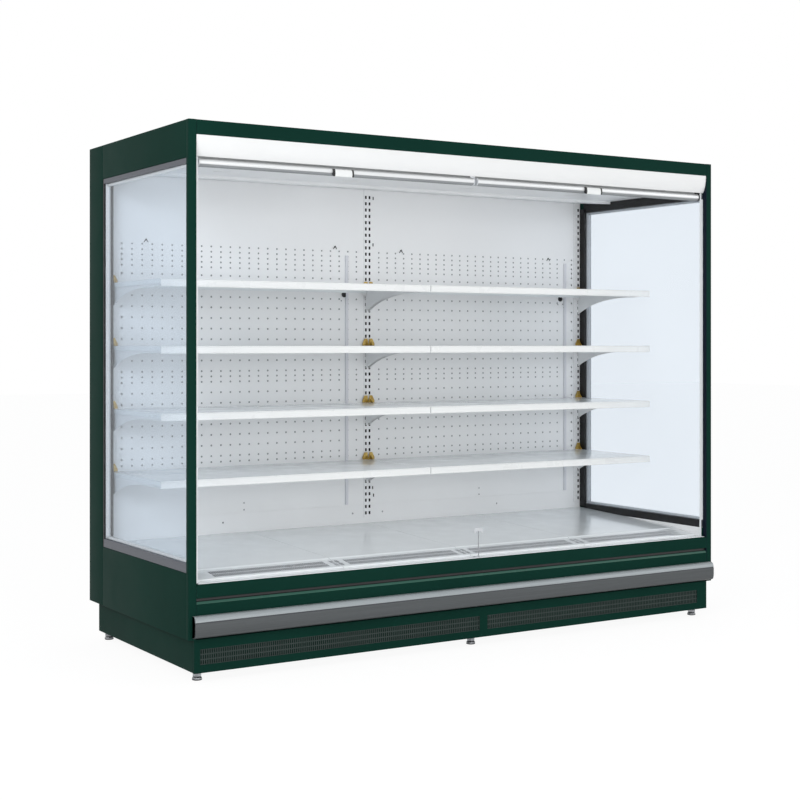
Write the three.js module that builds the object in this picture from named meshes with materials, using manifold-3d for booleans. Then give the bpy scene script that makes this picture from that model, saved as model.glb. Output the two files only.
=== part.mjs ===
// An open multideck display fridge: two bays, glazed ends, four tiers of shelves and a night curtain per bay.
// Millimetres, +Z up, +X along the cabinet, the open front towards -Y.
// The origin is on the floor, in the middle.
import * as THREE from "three";
import { mergeGeometries, mergeVertices } from "three/addons/utils/BufferGeometryUtils.js";
import Module from "manifold-3d";

const wasm = await Module();
wasm.setup();

// Overall size
const BAY = 1250; // one bay, between the upright lines
const END_WALL = 40; // thickness of an end wall
const END = BAY + END_WALL; // outer face of an end wall
const HEIGHT = 2055;
const FRONT = -492; // face of the corner posts and the header
const REAR = 522;
const GAP = 0.3; // clearance between pieces that meet
const RUNNING = 0.6; // clearance of a spindle or stem in its hole
const SHEET = 1.5; // folded sheet metal
const LAP = 1; // how far one folded piece runs into the next that it is welded to
const SIDES = [-1, 1];
const HANDS = ["left", "right"];

// Base and feet
const FOOT_HEIGHT = 36;
const BASE_TOP = 160;
const BASE_END = 1265;
const BASE_FRONT = -486;
const BASE_REAR = 477;
const CHANNEL = 40; // flange width of the base channels
const FRONT_FLANGE = 60; // the front one carries the front feet
const BEARER = { half: 20, bottom: 100 }; // the channel under the middle of the carcass
const KICK_DEPTH = 16; // the kick plate's returns
const FOOT_X = [-1228, 0, 1228];
const FOOT_Y = [-427, 457];
const FOOT = { pad: 19, rim: 6, neck: 13, nut: 17, shoulder: 28, stem: 6, length: 92 };
const BOSS = { r: 14, height: 20 };
const GRILLE_Z = [66, 123];
const GRILLE_X = [[-1242, 5], [43, 1208]];
const GRILLE = { margin: 8, thick: 3, panes: 7, post: 8, rows: 3, slot: 11 };

// Insulated carcass
const TUB_FRONT = -462;
const WALL = 50;
const TUB_FLOOR = 210;
const TUB_RIM = 352;
const TUB_LIP = 40; // thickness of the tub's front wall
const ROOF_UNDER = 2010;
const ROOF_FRONT = FRONT + 26;
const DRAIN = { x: 300, y: 50, r: 16, wall: 5, bottom: 112 };

// End walls
const POST = { width: 31, depth: 23 };
const PANEL_FRONT = FRONT + POST.depth + GAP;
const STRIP_FRONT = 372; // front edge of the rear side panel
const GLASS_BOTTOM = 436;
const GLASS_TOP = 1896;
const RAIL = { bottom: 402, top: 1916, outer: 1288 };
const GLAZING = 20; // thickness of the double glazing
const GASKET = 12;
const GASKET_LIP = 3; // how far the rear gasket stands into the cabinet

// Header, canopy and ceiling
const HEADER_BOTTOM = 2001;
const CANOPY = { inset: 2.5, bulge: 1950, lipY: -470.5, lipZ: 1924, plate: 3, tie: 28 };
const CEILING = { z: 1936, step: 1924, rear: 1946, stepY: 165, front: -336, lip: 14 };
const VENT = { x: [-950, -350, 250, 850], count: 4, reach: 72, width: 7, y0: 18, y1: 42 };
const OUTLET = { y0: -400, y1: -338, z0: 1927, z1: 1945, cells: 12, frame: 7, web: 13 };
const LAMP_BAR = { end: 1200, depth: 35, low: 1926, high: 1941 };
const LINER_END = BAY - 0.6;

// Front
const SILL = 363;
const SILL_REAR = -425;
const GROOVE = { top: 310, bottom: 300, depth: 10 };
const CATCH = { stem: 8, reach: 34, hook: 12, top: 484, arm: 470, drop: 462, foot: 20 };
const BUMPER = { front: -522, bottom: 168, top: 248, end: 1276, corner: 28 };

// Decks and back wall
const DECK = { grilleFront: 367, grilleRear: 382, y1: -316, y2: -308, front: 387, rear: 415, end: 398 };
const DECK_JOINT = 605; // between the two pans of a bay
const SKIRT = 15; // drop of a pan's side edges
const RETURN = { x: [[40, 560], [650, 1147]], slots: 9, slot: 24, margin: 16 };
const BACK = 400; // front plane of the back wall and the uprights
const LOWER_JOINT = 500;
const LOWER_BACK = 330; // lower edge of the lower back panel
const RACEWAY = { x: [-113, 1150], half: 8, depth: 8, top: 1640 };
const PERFORATION = { columns: 6, rows: 4, low: 690, high: 1670, hole: 12 };

// Uprights, slots and shelves
const SLOT = { pitch: 29, width: 7, height: 14, lowest: 461, count: 51 };
const UPRIGHT = { width: 40, sheet: 2, bottom: 440, top: CEILING.rear - GAP };
const SLOT_X = [-1238, -9.75, 9.75, 1238];
const TIERS = [1490, 1229, 968, 707]; // top faces of the shelves, nine slots apart
const SHELF = { front: -128, rear: 388, lip: 30, hem: 12, side: 20, end: 1243.5, joint: 1.5 };
const RIB = { y0: 140, y1: 164, drop: 14, inset: 14 };
const BRACKET = { thick: 3, front: -120, nose: 26, deep: 104 };
const SWEEP = { y0: -20, drop: 29, bendY: 250, bendDrop: 22 }; // the curved lower edge of a bracket
const HOOK = { rise: 15, neck: 7.7, tail: 7.3, play: 2, thick: 3, root: 15, heel: 31 };
const LUG = { drop: 2 * SLOT.pitch, half: 5, reach: 5 };
const HOOK_PLATE = { outer: 8, inner: 22, crown: [-4, 10], low: 30, shoulder: 10, height: 33 };
const HOOK_PLATE_Y = [391.9, 394.7];

// Night curtains
const BAR = { y0: -468, y1: -438, z0: 1889, z1: 1920, inner: 6, outer: 1240 };
const CURTAIN = { y0: -441.6, y1: -440.4 };
const ROLLER = { r: 18, y: CURTAIN.y1 + 0.5 + 18, z: 1968, spindle: 5 };
const HANDLE_X = [-632, 615];
const GRIP = 45; // half the length of a grip
const CLOTH_INSET = 6;

// Fans and coil
const FAN = { x: [-625, 625], y: -60, z: 292, r: 66, hub: 22, shaft: 4, depth: 28, blades: 5, pitch: 0.6 };
const FAN_TRAY = { end: BAY - 10, top: 374, sheet: 2.5, spoke: 6, reach: 14, motor: 26, motorDepth: 48 };
const COIL = { x: 1150, y0: 60, y1: 330, top: 330, fins: 24, fin: 5, web: 6 };

// Finishes
const finish = (color, roughness, metalness) => ({ color, roughness, metalness });
const GREEN = finish(0x1b4036, 0.42, 0.1);
const WHITE = finish(0xf0f2f3, 0.4, 0);
const GREY_STEEL = finish(0x9aa0a4, 0.35, 0.9);
const BUMPER_GREY = finish(0x77797c, 0.35, 0.3);
const DARK = finish(0x14201e, 0.6, 0);
const RAIL_GREY = finish(0x494d57, 0.4, 0.4);
const GLASS = finish(0xdfe9f2, 0.05, 0);
const ALUMINIUM = finish(0xc6cacc, 0.35, 0.8);
const FABRIC = finish(0xe4e6e6, 0.9, 0);
const LAMP = finish(0xffffff, 0.3, 0);

const cabinet = new THREE.Group();

// Shapes

const outline = (points) => new THREE.Shape(points.map(([a, b]) => new THREE.Vector2(a, b)));

const corners = (a0, a1, b0, b1) => [[a0, b0], [a1, b0], [a1, b1], [a0, b1]];

const rectangle = (a0, a1, b0, b1) => outline(corners(a0, a1, b0, b1));

const arc = (a, b, r, from, to, steps = 5) =>
  Array.from({ length: steps + 1 }, (_, i) => {
    const turn = from + ((to - from) * i) / steps;
    return [a + r * Math.cos(turn), b + r * Math.sin(turn)];
  });

// The section of a folded sheet: a line through its outer face, and the same line one thickness to its left.
function folded(points, thickness = SHEET) {
  const line = points.map(([a, b]) => new THREE.Vector2(a, b));
  const normals = line.slice(1).map((p, i) => {
    const along = p.clone().sub(line[i]).normalize();
    return new THREE.Vector2(-along.y, along.x);
  });
  const inner = line.map((p, i) => {
    const before = normals[Math.max(i - 1, 0)];
    const after = normals[Math.min(i, normals.length - 1)];
    const mitre = before.clone().add(after);
    return p.clone().addScaledVector(mitre, (2 * thickness) / mitre.lengthSq());
  });
  return new THREE.Shape([...line, ...inner.reverse()]);
}

const mirrored = (points) => points.map(([a, b]) => [-a, b]);

function extruded(shape, low, high, basis, along) {
  const depth = high - low;
  const geometry = new THREE.ExtrudeGeometry(shape, { depth, bevelEnabled: false, curveSegments: 6 });
  geometry.applyMatrix4(new THREE.Matrix4().makeBasis(...basis));
  return geometry.translate(...along);
}

const X = new THREE.Vector3(1, 0, 0);
const Y = new THREE.Vector3(0, 1, 0);
const Z = new THREE.Vector3(0, 0, 1);
const BACKWARDS = new THREE.Vector3(0, -1, 0);

// A YZ section along X, an XZ section along Y, and an XY section along Z
const alongX = (shape, x0, x1) => extruded(shape, x0, x1, [Y, Z, X], [x0, 0, 0]);
const alongY = (shape, y0, y1) => extruded(shape, y0, y1, [X, Z, BACKWARDS], [0, y1, 0]);
const alongZ = (shape, z0, z1) => extruded(shape, z0, z1, [X, Y, Z], [0, 0, z0]);

const block = (x0, x1, y0, y1, z0, z1) => alongZ(rectangle(x0, x1, y0, y1), z0, z1);

function rodX(r, x0, x1, y, z, segments = 16) {
  const rod = new THREE.CylinderGeometry(r, r, x1 - x0, segments).rotateZ(-Math.PI / 2);
  return rod.translate((x0 + x1) / 2, y, z);
}

function rodY(r, y0, y1, x, z, segments = 16) {
  return new THREE.CylinderGeometry(r, r, y1 - y0, segments).translate(x, (y0 + y1) / 2, z);
}

function rodZ(r, z0, z1, x, y, segments = 16) {
  const rod = new THREE.CylinderGeometry(r, r, z1 - z0, segments).rotateX(Math.PI / 2);
  return rod.translate(x, y, (z0 + z1) / 2);
}

// Solids

function solid(geometry) {
  const bare = geometry.index ? geometry.toNonIndexed() : geometry.clone();
  bare.deleteAttribute("normal");
  bare.deleteAttribute("uv");
  const merged = mergeVertices(bare, 1e-3);
  const triVerts = new Uint32Array(merged.index.array);
  const vertProperties = merged.attributes.position.array;
  return new wasm.Manifold(new wasm.Mesh({ numProp: 3, vertProperties, triVerts }));
}

function geometryOf(body) {
  const { vertProperties, triVerts } = body.getMesh();
  const geometry = new THREE.BufferGeometry();
  geometry.setAttribute("position", new THREE.BufferAttribute(vertProperties, 3));
  geometry.setIndex(new THREE.BufferAttribute(triVerts, 1));
  geometry.computeVertexNormals();
  return geometry;
}

const joined = (...pieces) => geometryOf(pieces.map(solid).reduce((a, b) => a.add(b)));

const cut = (piece, ...tools) => geometryOf(tools.map(solid).reduce((a, b) => a.subtract(b), solid(piece)));

const common = (a, b) => geometryOf(solid(a).intersect(solid(b)));

function add(name, geometry, look) {
  const mesh = new THREE.Mesh(geometry, new THREE.MeshStandardMaterial(look));
  mesh.name = name;
  cabinet.add(mesh);
}

function spread(count, low, high, size) {
  const pitch = (high - low) / count;
  return Array.from({ length: count }, (_, i) => {
    const middle = low + pitch * (i + 0.5);
    return [middle - size / 2, middle + size / 2];
  });
}

// Rows and columns of rectangular holes through a sheet that stands in the XZ plane
function perforate(sheet, columns, rows, y) {
  const holes = columns.flatMap(([x0, x1]) => rows.map(([z0, z1]) => block(x0, x1, y - 10, y + 10, z0, z1)));
  return cut(sheet, mergeGeometries(holes));
}

// Base

function baseFrame() {
  const side = [
    [BASE_END - CHANNEL, FOOT_HEIGHT],
    [BASE_END, FOOT_HEIGHT],
    [BASE_END, BASE_TOP],
    [BASE_END - CHANNEL, BASE_TOP],
  ];
  const front = BASE_FRONT + KICK_DEPTH;
  const frontChannel = [
    [front + CHANNEL, BASE_TOP],
    [front, BASE_TOP],
    [front, FOOT_HEIGHT],
    [front + FRONT_FLANGE, FOOT_HEIGHT],
  ];
  const rearChannel = [
    [BASE_REAR - CHANNEL, FOOT_HEIGHT],
    [BASE_REAR, FOOT_HEIGHT],
    [BASE_REAR, BASE_TOP],
    [BASE_REAR - CHANNEL, BASE_TOP],
  ];
  const { half, bottom } = BEARER;
  const middle = [[half, bottom], [half, BASE_TOP], [-half, BASE_TOP], [-half, bottom]];
  const feet = FOOT_X.flatMap((x) => FOOT_Y.map((y) => [x, y]));
  const bosses = feet.map(([x, y]) => rodZ(BOSS.r, FOOT_HEIGHT, FOOT_HEIGHT + BOSS.height, x, y, 10));
  const bores = feet.map(([x, y]) => rodZ(FOOT.stem + RUNNING, 0, FOOT.length, x, y, 10));
  const frame = joined(
    alongY(folded(side), front, BASE_REAR),
    alongY(folded(mirrored(side).reverse()), front, BASE_REAR),
    alongX(folded(frontChannel), LAP - BASE_END, BASE_END - LAP),
    alongX(folded(rearChannel), LAP - BASE_END, BASE_END - LAP),
    alongY(folded(middle), front + LAP, BASE_REAR - LAP),
    ...bosses,
  );
  return cut(frame, ...bores);
}

function kickPlate() {
  const low = FOOT_HEIGHT + GAP;
  const high = BASE_TOP - GAP;
  const rear = BASE_FRONT + KICK_DEPTH - GAP;
  const wide = BASE_END - SHEET;
  const tray = block(-BASE_END, BASE_END, BASE_FRONT, rear, low, high);
  const hollow = block(-wide, wide, BASE_FRONT + SHEET, rear + 1, low + SHEET, high - SHEET);
  return perforate(cut(tray, hollow), GRILLE_X, [GRILLE_Z], BASE_FRONT);
}

function kickGrille([x0, x1]) {
  const { margin, thick, panes, post, rows, slot } = GRILLE;
  const [z0, z1] = GRILLE_Z;
  const face = BASE_FRONT + SHEET + GAP;
  const plate = block(x0 - margin, x1 + margin, face, face + thick, z0 - margin, z1 + margin);
  const columns = spread(panes, x0, x1, (x1 - x0) / panes - post);
  return perforate(plate, columns, spread(rows, z0, z1, slot), face);
}

function levelingFoot(x, y) {
  const { pad, rim, neck, nut, shoulder, stem, length } = FOOT;
  const disc = [[0, 0], [pad, 0], [pad, rim], [neck, rim + 4], [nut, rim + 8]];
  const shaft = [[nut, shoulder], [stem, shoulder], [stem, length], [0, length]];
  const profile = [...disc, ...shaft].map(([r, z]) => new THREE.Vector2(r, z));
  const foot = new THREE.LatheGeometry(profile, 10);
  return foot.rotateX(Math.PI / 2).translate(x, y, 0);
}

// Carcass and end walls

function insulatedCarcass() {
  const inner = REAR - WALL;
  const section = outline([
    [TUB_FRONT, BASE_TOP + GAP],
    [REAR, BASE_TOP + GAP],
    [REAR, HEIGHT],
    [ROOF_FRONT, HEIGHT],
    [ROOF_FRONT, ROOF_UNDER],
    [inner, ROOF_UNDER],
    [inner, TUB_FLOOR],
    [TUB_FRONT + TUB_LIP, TUB_FLOOR],
    [TUB_FRONT + TUB_LIP, TUB_RIM],
    [TUB_FRONT, TUB_RIM],
  ]);
  const shell = alongX(section, -BAY + GAP, BAY - GAP);
  const outlet = rodZ(DRAIN.r + DRAIN.wall, DRAIN.bottom, TUB_FLOOR - LAP, DRAIN.x, DRAIN.y);
  const bore = rodZ(DRAIN.r, DRAIN.bottom - LAP, TUB_FLOOR + LAP, DRAIN.x, DRAIN.y);
  return cut(joined(shell, outlet), bore);
}

function cornerPost(side) {
  const inner = END - POST.width;
  const back = FRONT + POST.depth;
  const soft = 3;
  const section = [
    [inner, FRONT],
    [END - soft, FRONT],
    [END - soft * 0.3, FRONT + soft * 0.3],
    [END, FRONT + soft],
    [END, back],
    [inner, back],
  ];
  const points = side > 0 ? section : mirrored(section).reverse();
  return alongZ(outline(points), BASE_TOP + GAP, HEIGHT);
}

// A flat panel of an end wall, with its outer upright edges eased
function endPanel(side, y0, y1, z0, z1) {
  const ease = 1.5;
  const section = [
    [BAY, y0],
    [END - ease, y0],
    [END, y0 + ease],
    [END, y1 - ease],
    [END - ease, y1],
    [BAY, y1],
  ];
  return alongZ(outline(side > 0 ? section : mirrored(section).reverse()), z0, z1);
}

function ordered(side, a, b) {
  return side > 0 ? [a, b] : [-b, -a];
}

// Rails above and below the glass, joined at the rear by the dark gasket that also covers the inner corner
function glassFrame(side) {
  const inner = BAY - GASKET_LIP;
  const rear = STRIP_FRONT - GAP;
  const top = RAIL.top - GAP;
  const low = DECK.rear + 5;
  const rail = (z0, z1) => block(...ordered(side, BAY, RAIL.outer), PANEL_FRONT, rear, z0, z1);
  return joined(
    rail(RAIL.bottom, GLASS_BOTTOM),
    rail(GLASS_TOP, top),
    block(...ordered(side, inner, RAIL.outer), rear - GASKET, rear, low, top),
    block(...ordered(side, inner, BAY - GAP), rear - GASKET, BACK - LAP, low, top),
  );
}

function sideGlass(side) {
  const middle = (BAY + END) / 2;
  const across = ordered(side, middle - GLAZING / 2, middle + GLAZING / 2);
  const rear = STRIP_FRONT - GASKET - 2 * GAP;
  return block(...across, PANEL_FRONT, rear, GLASS_BOTTOM + GAP, GLASS_TOP - GAP);
}

// Header, canopy and ceiling

function headerFascia() {
  const width = END - POST.width - GAP;
  const line = [
    [PANEL_FRONT - 2 * GAP, HEIGHT],
    [FRONT, HEIGHT],
    [FRONT, HEADER_BOTTOM],
    [PANEL_FRONT - 2 * GAP, HEADER_BOTTOM],
  ];
  return alongX(folded(line), -width, width);
}

function canopyLiner() {
  const { inset, bulge, lipY, lipZ, plate, tie } = CANOPY;
  const width = END - POST.width - GAP;
  const face = FRONT + inset;
  const curve = new THREE.QuadraticBezierCurve(
    new THREE.Vector2(face, HEADER_BOTTOM - GAP),
    new THREE.Vector2(face, bulge),
    new THREE.Vector2(lipY, lipZ),
  );
  const skin = alongX(folded(curve.getPoints(10).map((p) => [p.x, p.y])), -width, width);
  const { y, z, spindle } = ROLLER;
  const around = 2 * spindle;
  const bracket = outline([
    [y + around, z - around],
    [y + around, z + around],
    [y - around, z + tie],
    [face + LAP, z + tie],
    [face + 2 * LAP, z + around],
    [y - around, z - around],
  ]);
  const middles = [plate / 2 - LINER_END, 0, LINER_END - plate / 2];
  const brackets = middles.map((x) => alongX(bracket, x - plate / 2, x + plate / 2));
  const bore = rodX(spindle + RUNNING, -END, END, y, z, 8);
  return cut(joined(skin, ...brackets), bore);
}

function ceilingPanel() {
  const line = [
    [BACK - LAP, CEILING.rear],
    [CEILING.stepY, CEILING.step],
    [CEILING.stepY, CEILING.z],
    [CEILING.front, CEILING.z],
    [CEILING.front, CEILING.z + CEILING.lip],
  ];
  const panel = alongX(folded(line, -SHEET), -LINER_END, LINER_END);
  const { y0, y1, count, reach, width } = VENT;
  const vents = VENT.x.flatMap((x) =>
    spread(count, x, x + reach, width).map(([x0, x1]) => block(x0, x1, y0, y1, CEILING.z - 5, CEILING.z + 5)),
  );
  return cut(panel, mergeGeometries(vents));
}

// The grille that straightens the falling curtain of cold air
function outletHoneycomb() {
  const { y0, y1, z0, z1, cells, frame, web } = OUTLET;
  const border = block(-LINER_END, LINER_END, y0, y1, z0, z1);
  const holes = spread(cells, -LINER_END, LINER_END, (2 * LINER_END) / cells - web).map(([x0, x1]) =>
    block(x0, x1, y0 + frame, y1 - frame, z0 - LAP, z1 + LAP),
  );
  return cut(border, mergeGeometries(holes));
}

function lightBar() {
  const rear = OUTLET.y0 - GAP;
  const { end, depth, low, high } = LAMP_BAR;
  const section = outline([
    [rear, low + 1],
    [rear, high],
    [rear - depth + 5, high],
    [rear - depth, high - 4],
    [rear - depth + 5, low + 3],
    [rear - depth / 2, low],
  ]);
  return alongX(section, -end, end);
}

// Front

function sillCap() {
  const line = [[FRONT + 4, SILL], [SILL_REAR, SILL], [SILL_REAR, TUB_RIM + GAP]];
  return alongX(folded(line, -SHEET), LAP - BAY, BAY - LAP);
}

// The nose, the shadow groove and the lower band in one folded sheet
function frontPanel() {
  const top = SILL - SHEET - GAP;
  const line = [
    [PANEL_FRONT - 2 * GAP, top],
    [FRONT + 6, top],
    [FRONT + 2, top - 2],
    [FRONT, top - 6],
    [FRONT, GROOVE.top],
    [FRONT + GROOVE.depth, GROOVE.top],
    [FRONT + GROOVE.depth, GROOVE.bottom],
    [FRONT + 4, GROOVE.bottom - 3],
    [FRONT + 1, GROOVE.bottom - 9],
    [FRONT + 1, BASE_TOP + 6],
    [FRONT + 20, BASE_TOP + 1],
  ];
  const width = END - POST.width - GAP;
  return alongX(folded(line), -width, width);
}

function bumperRail() {
  const back = FRONT - GAP;
  const { front, bottom, top, end, corner } = BUMPER;
  const section = outline([
    [back, bottom],
    [front + 12, bottom],
    [front + 4, bottom + 6],
    [front, bottom + 20],
    [front, top - 24],
    [front + 3, top - 22],
    [front + 1, top - 19],
    [front + 4, top - 8],
    [front + 12, top],
    [back, top],
  ]);
  const plan = outline([
    [-end, back],
    ...arc(corner - end, front + corner, corner, Math.PI, 1.5 * Math.PI),
    ...arc(end - corner, front + corner, corner, 1.5 * Math.PI, 2 * Math.PI),
    [end, back],
  ]);
  return common(alongX(section, -end, end), alongZ(plan, bottom - 5, top + 5));
}

// Decks and back wall

// One of the four pans over the tub, with its return air grille along the front between g0 and g1
function deckPan(x0, x1, g0, g1) {
  const front = SILL_REAR + GAP;
  const { slots, slot, margin } = RETURN;
  const surface = [
    [DECK.end, DECK.rear],
    [DECK.y2, DECK.front],
    [DECK.y1, DECK.grilleRear],
    [front, DECK.grilleFront],
    [front, TUB_RIM + GAP],
  ];
  const edge = outline([
    [front, DECK.grilleFront - LAP],
    [DECK.y1, DECK.grilleRear - LAP],
    [DECK.y2, DECK.front - LAP],
    [DECK.end, DECK.rear - LAP],
    [DECK.end, DECK.rear - SKIRT],
    [DECK.y2, DECK.front - SKIRT],
    [front, TUB_RIM + LAP],
  ]);
  const sheet = alongX(folded(surface), x0, x1);
  const returns = spread(slots, g0, g1, slot).map(([a, b]) =>
    block(a, b, front + margin, DECK.y1 - margin, TUB_RIM + LAP, DECK.rear),
  );
  const skirts = [alongX(edge, x0, x0 + SHEET), alongX(edge, x1 - SHEET, x1)];
  return cut(joined(sheet, ...skirts), mergeGeometries(returns));
}

// Plain above, perforated below, with the cable raceway of its bay
function backPanel(x0, x1, racewayX) {
  const face = BACK + 0.5;
  const sheet = block(x0, x1, face, face + SHEET, LOWER_JOINT, UPRIGHT.top);
  const { half, depth, top } = RACEWAY;
  const raceway = block(racewayX - half, racewayX + half, BACK - depth, face + LAP, LOWER_JOINT, top);
  const { columns, rows, low, high, hole } = PERFORATION;
  const holes = [spread(columns, x0, x1, hole), spread(rows, low, high, hole)];
  return joined(perforate(sheet, ...holes, face), raceway);
}

function lowerBackPanel() {
  const notch = UPRIGHT.width / 2 + GAP;
  const end = BAY - LAP;
  const side = end - UPRIGHT.width - GAP;
  const top = LOWER_JOINT - GAP;
  const low = UPRIGHT.bottom - GAP;
  const right = [[end, low], [side, low], [side, top], [notch, top], [notch, low]];
  const bottom = [[-end, LOWER_BACK], [end, LOWER_BACK]];
  const shape = outline([...bottom, ...right, ...mirrored(right).reverse()]);
  return alongY(shape, BACK + 0.5, BACK + 0.5 + SHEET);
}

const slotRows = Array.from({ length: SLOT.count }, (_, i) => {
  const middle = SLOT.lowest + SLOT.pitch * i;
  return [middle - SLOT.height / 2, middle + SLOT.height / 2];
});

// A slotted channel that stands on the back wall of the carcass and carries the shelves
function upright(x, slotXs) {
  const x0 = x - UPRIGHT.width / 2;
  const x1 = x + UPRIGHT.width / 2;
  const rear = REAR - WALL - GAP;
  const section = [[x0, rear], [x0, BACK], [x1, BACK], [x1, rear]];
  const channel = alongZ(folded(section, UPRIGHT.sheet), UPRIGHT.bottom, UPRIGHT.top);
  const columns = slotXs.map((s) => [s - SLOT.width / 2, s + SLOT.width / 2]);
  return perforate(channel, columns, slotRows, BACK);
}

// Shelves

// A cantilever bracket: its hook drops behind the upright, a straight lug below it keys into another slot,
// and the plate across it stiffens the hook; inward is the side on which the shelf lies
function shelfBracket(x, top, inward) {
  const { rise, neck, tail, play, thick, root, heel } = HOOK;
  const slot = top + rise;
  const rest = slot - SLOT.height / 2 + GAP;
  const face = BACK - GAP;
  const behind = BACK + UPRIGHT.sheet + play;
  const key = slot - LUG.drop;
  const sweep = new THREE.QuadraticBezierCurve(
    new THREE.Vector2(SWEEP.y0, top - SWEEP.drop),
    new THREE.Vector2(SWEEP.bendY, top - SWEEP.bendDrop),
    new THREE.Vector2(face, top - BRACKET.deep),
  );
  const blade = outline([
    [BRACKET.front, top - SHEET / 2],
    [BRACKET.front, top - BRACKET.nose],
    ...sweep.getPoints(6).map((p) => [p.x, p.y]),
    [face, key - LUG.half],
    [face + LUG.reach, key - LUG.half + LAP],
    [face + LUG.reach, key + LUG.half - LAP],
    [face, key + LUG.half],
    [face, rest],
    [behind, rest],
    [behind, rest - tail],
    [behind + thick, rest - tail],
    [behind + thick, rest + neck],
    [face - root, rest + neck],
    [face - heel, top - SHEET / 2],
  ]);
  const { outer, inner, crown, low, shoulder, height } = HOOK_PLATE;
  const plate = [
    [-outer, -low],
    [inner, -low],
    [inner, shoulder],
    [crown[1], height],
    [crown[0], height],
    [-outer, shoulder],
  ];
  const placed = plate.map(([a, z]) => [x + inward * a, top + z]);
  const half = BRACKET.thick / 2;
  return [alongX(blade, x - half, x + half), alongY(outline(placed), ...HOOK_PLATE_Y)];
}

function shelf(x0, x1, bracketXs, top) {
  const { front, rear, lip, hem, side } = SHELF;
  const pan = [[rear, top - side], [rear, top], [front, top], [front, top - lip], [front + hem, top - lip]];
  const { y0, y1, drop, inset } = RIB;
  const rib = [[y0, top - LAP], [y0, top - drop], [y1, top - drop], [y1, top - LAP]];
  const edge = (a) => block(a, a + SHEET, front + LAP, rear - LAP, top - side, top - LAP);
  return joined(
    alongX(folded(pan), x0, x1),
    alongX(folded(rib), x0 + inset, x1 - inset),
    edge(x0),
    edge(x1 - SHEET),
    ...shelfBracket(bracketXs[0], top, 1),
    ...shelfBracket(bracketXs[1], top, -1),
  );
}

// Night curtains

// A pull bar with a convex front, its grip and its end caps
function curtainBar(x0, x1, grip) {
  const { y0, y1, z0, z1 } = BAR;
  const section = outline([
    [y1, z1],
    [y0 + 10, z1],
    [y0 + 3, z1 - 5],
    [y0, z1 - 12],
    [y0, z0 + 12],
    [y0 + 3, z0 + 5],
    [y0 + 10, z0],
    [y1, z0],
  ]);
  const gripSection = outline([
    [y0 + 4, z1 - 6],
    [y0 - 7, z1 - 10],
    [y0 - 10, z0 + 4],
    [y0 - 6, z0 - 6],
    [y0 - 2, z0 - 5],
    [y0 + 4, z0 + 8],
  ]);
  return joined(alongX(section, x0, x1), alongX(gripSection, grip - GRIP, grip + GRIP));
}

function curtainRoller(x0, x1, spindle0, spindle1) {
  return joined(
    rodX(ROLLER.r, x0, x1, ROLLER.y, ROLLER.z, 12),
    rodX(ROLLER.spindle, spindle0, spindle1, ROLLER.y, ROLLER.z, 8),
  );
}

// Stands on the sill between the bays; the lowered pull bars catch on its two hooks
function catchPost() {
  const { stem, reach, hook, top, arm, drop, foot } = CATCH;
  const y0 = FRONT + 7;
  const y1 = y0 + 2 * SHEET;
  const low = SILL + GAP;
  const hookX = reach - hook;
  const half = [[stem, low], [stem, arm], [hookX, arm], [hookX, drop], [reach, drop], [reach, top]];
  const shape = outline([...half, ...mirrored(half).reverse()]);
  return joined(alongY(shape, y0, y1), block(-foot, foot, y0, y1 + foot, low, low + 2 * SHEET));
}

// Cooling

// The coil's fins, as a comb that stands on the tub floor
function evaporatorCoil() {
  const fins = spread(COIL.fins, -COIL.x, COIL.x, COIL.fin);
  const web = TUB_FLOOR + COIL.web;
  const points = [[-COIL.x, TUB_FLOOR + GAP], [COIL.x, TUB_FLOOR + GAP]];
  for (const [a, b] of fins.reverse()) points.push([b, web], [b, COIL.top], [a, COIL.top], [a, web]);
  return alongY(outline(points), COIL.y0, COIL.y1);
}

function fanTray() {
  const { y, z, r, shaft } = FAN;
  const { end, top, sheet, spoke, reach, motor, motorDepth } = FAN_TRAY;
  const wall = block(-end, end, y - sheet, y, TUB_FLOOR + GAP, top);
  const openings = FAN.x.map((x) => rodY(r + spoke, y - 10, y + 10, x, z, 14));
  const mounts = FAN.x.flatMap((x) => [
    block(x - r - reach, x + r + reach, y - LAP, y + 4, z - spoke, z + spoke),
    block(x - spoke, x + spoke, y - LAP, y + 4, z - r - reach, z + r + reach),
    rodY(motor, y - LAP, y + motorDepth, x, z, 12),
    rodY(shaft, y - FAN.depth, y + LAP, x, z, 8),
  ]);
  return joined(cut(wall, ...openings), ...mounts);
}

function fanRotor(x) {
  const { y, z, r, hub, depth, blades, pitch } = FAN;
  const rear = y - 6;
  const front = rear - depth;
  const reach = r - hub + 4;
  const vanes = Array.from({ length: blades }, (_, i) => {
    const vane = new THREE.BoxGeometry(reach, 2, depth + 6).rotateX(pitch).translate(r - reach / 2, 0, 0);
    return vane.rotateY((2 * Math.PI * i) / blades).translate(x, (front + rear) / 2, z);
  });
  const rotor = joined(rodY(hub, front, rear, x, z, 10), ...vanes);
  return cut(rotor, rodY(FAN.shaft + RUNNING, y - depth - 2, y, x, z, 8));
}

// Assembly

add("base_frame", baseFrame(), GREEN);
add("kick_plate", kickPlate(), GREEN);
GRILLE_X.forEach((span, i) => add(`kick_grille_${HANDS[i]}`, kickGrille(span), DARK));
FOOT_Y.forEach((y, row) =>
  FOOT_X.forEach((x, i) => {
    const place = `${["front", "rear"][row]}_${["left", "middle", "right"][i]}`;
    add(`leveling_foot_${place}`, levelingFoot(x, y), GREY_STEEL);
  }),
);

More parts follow.
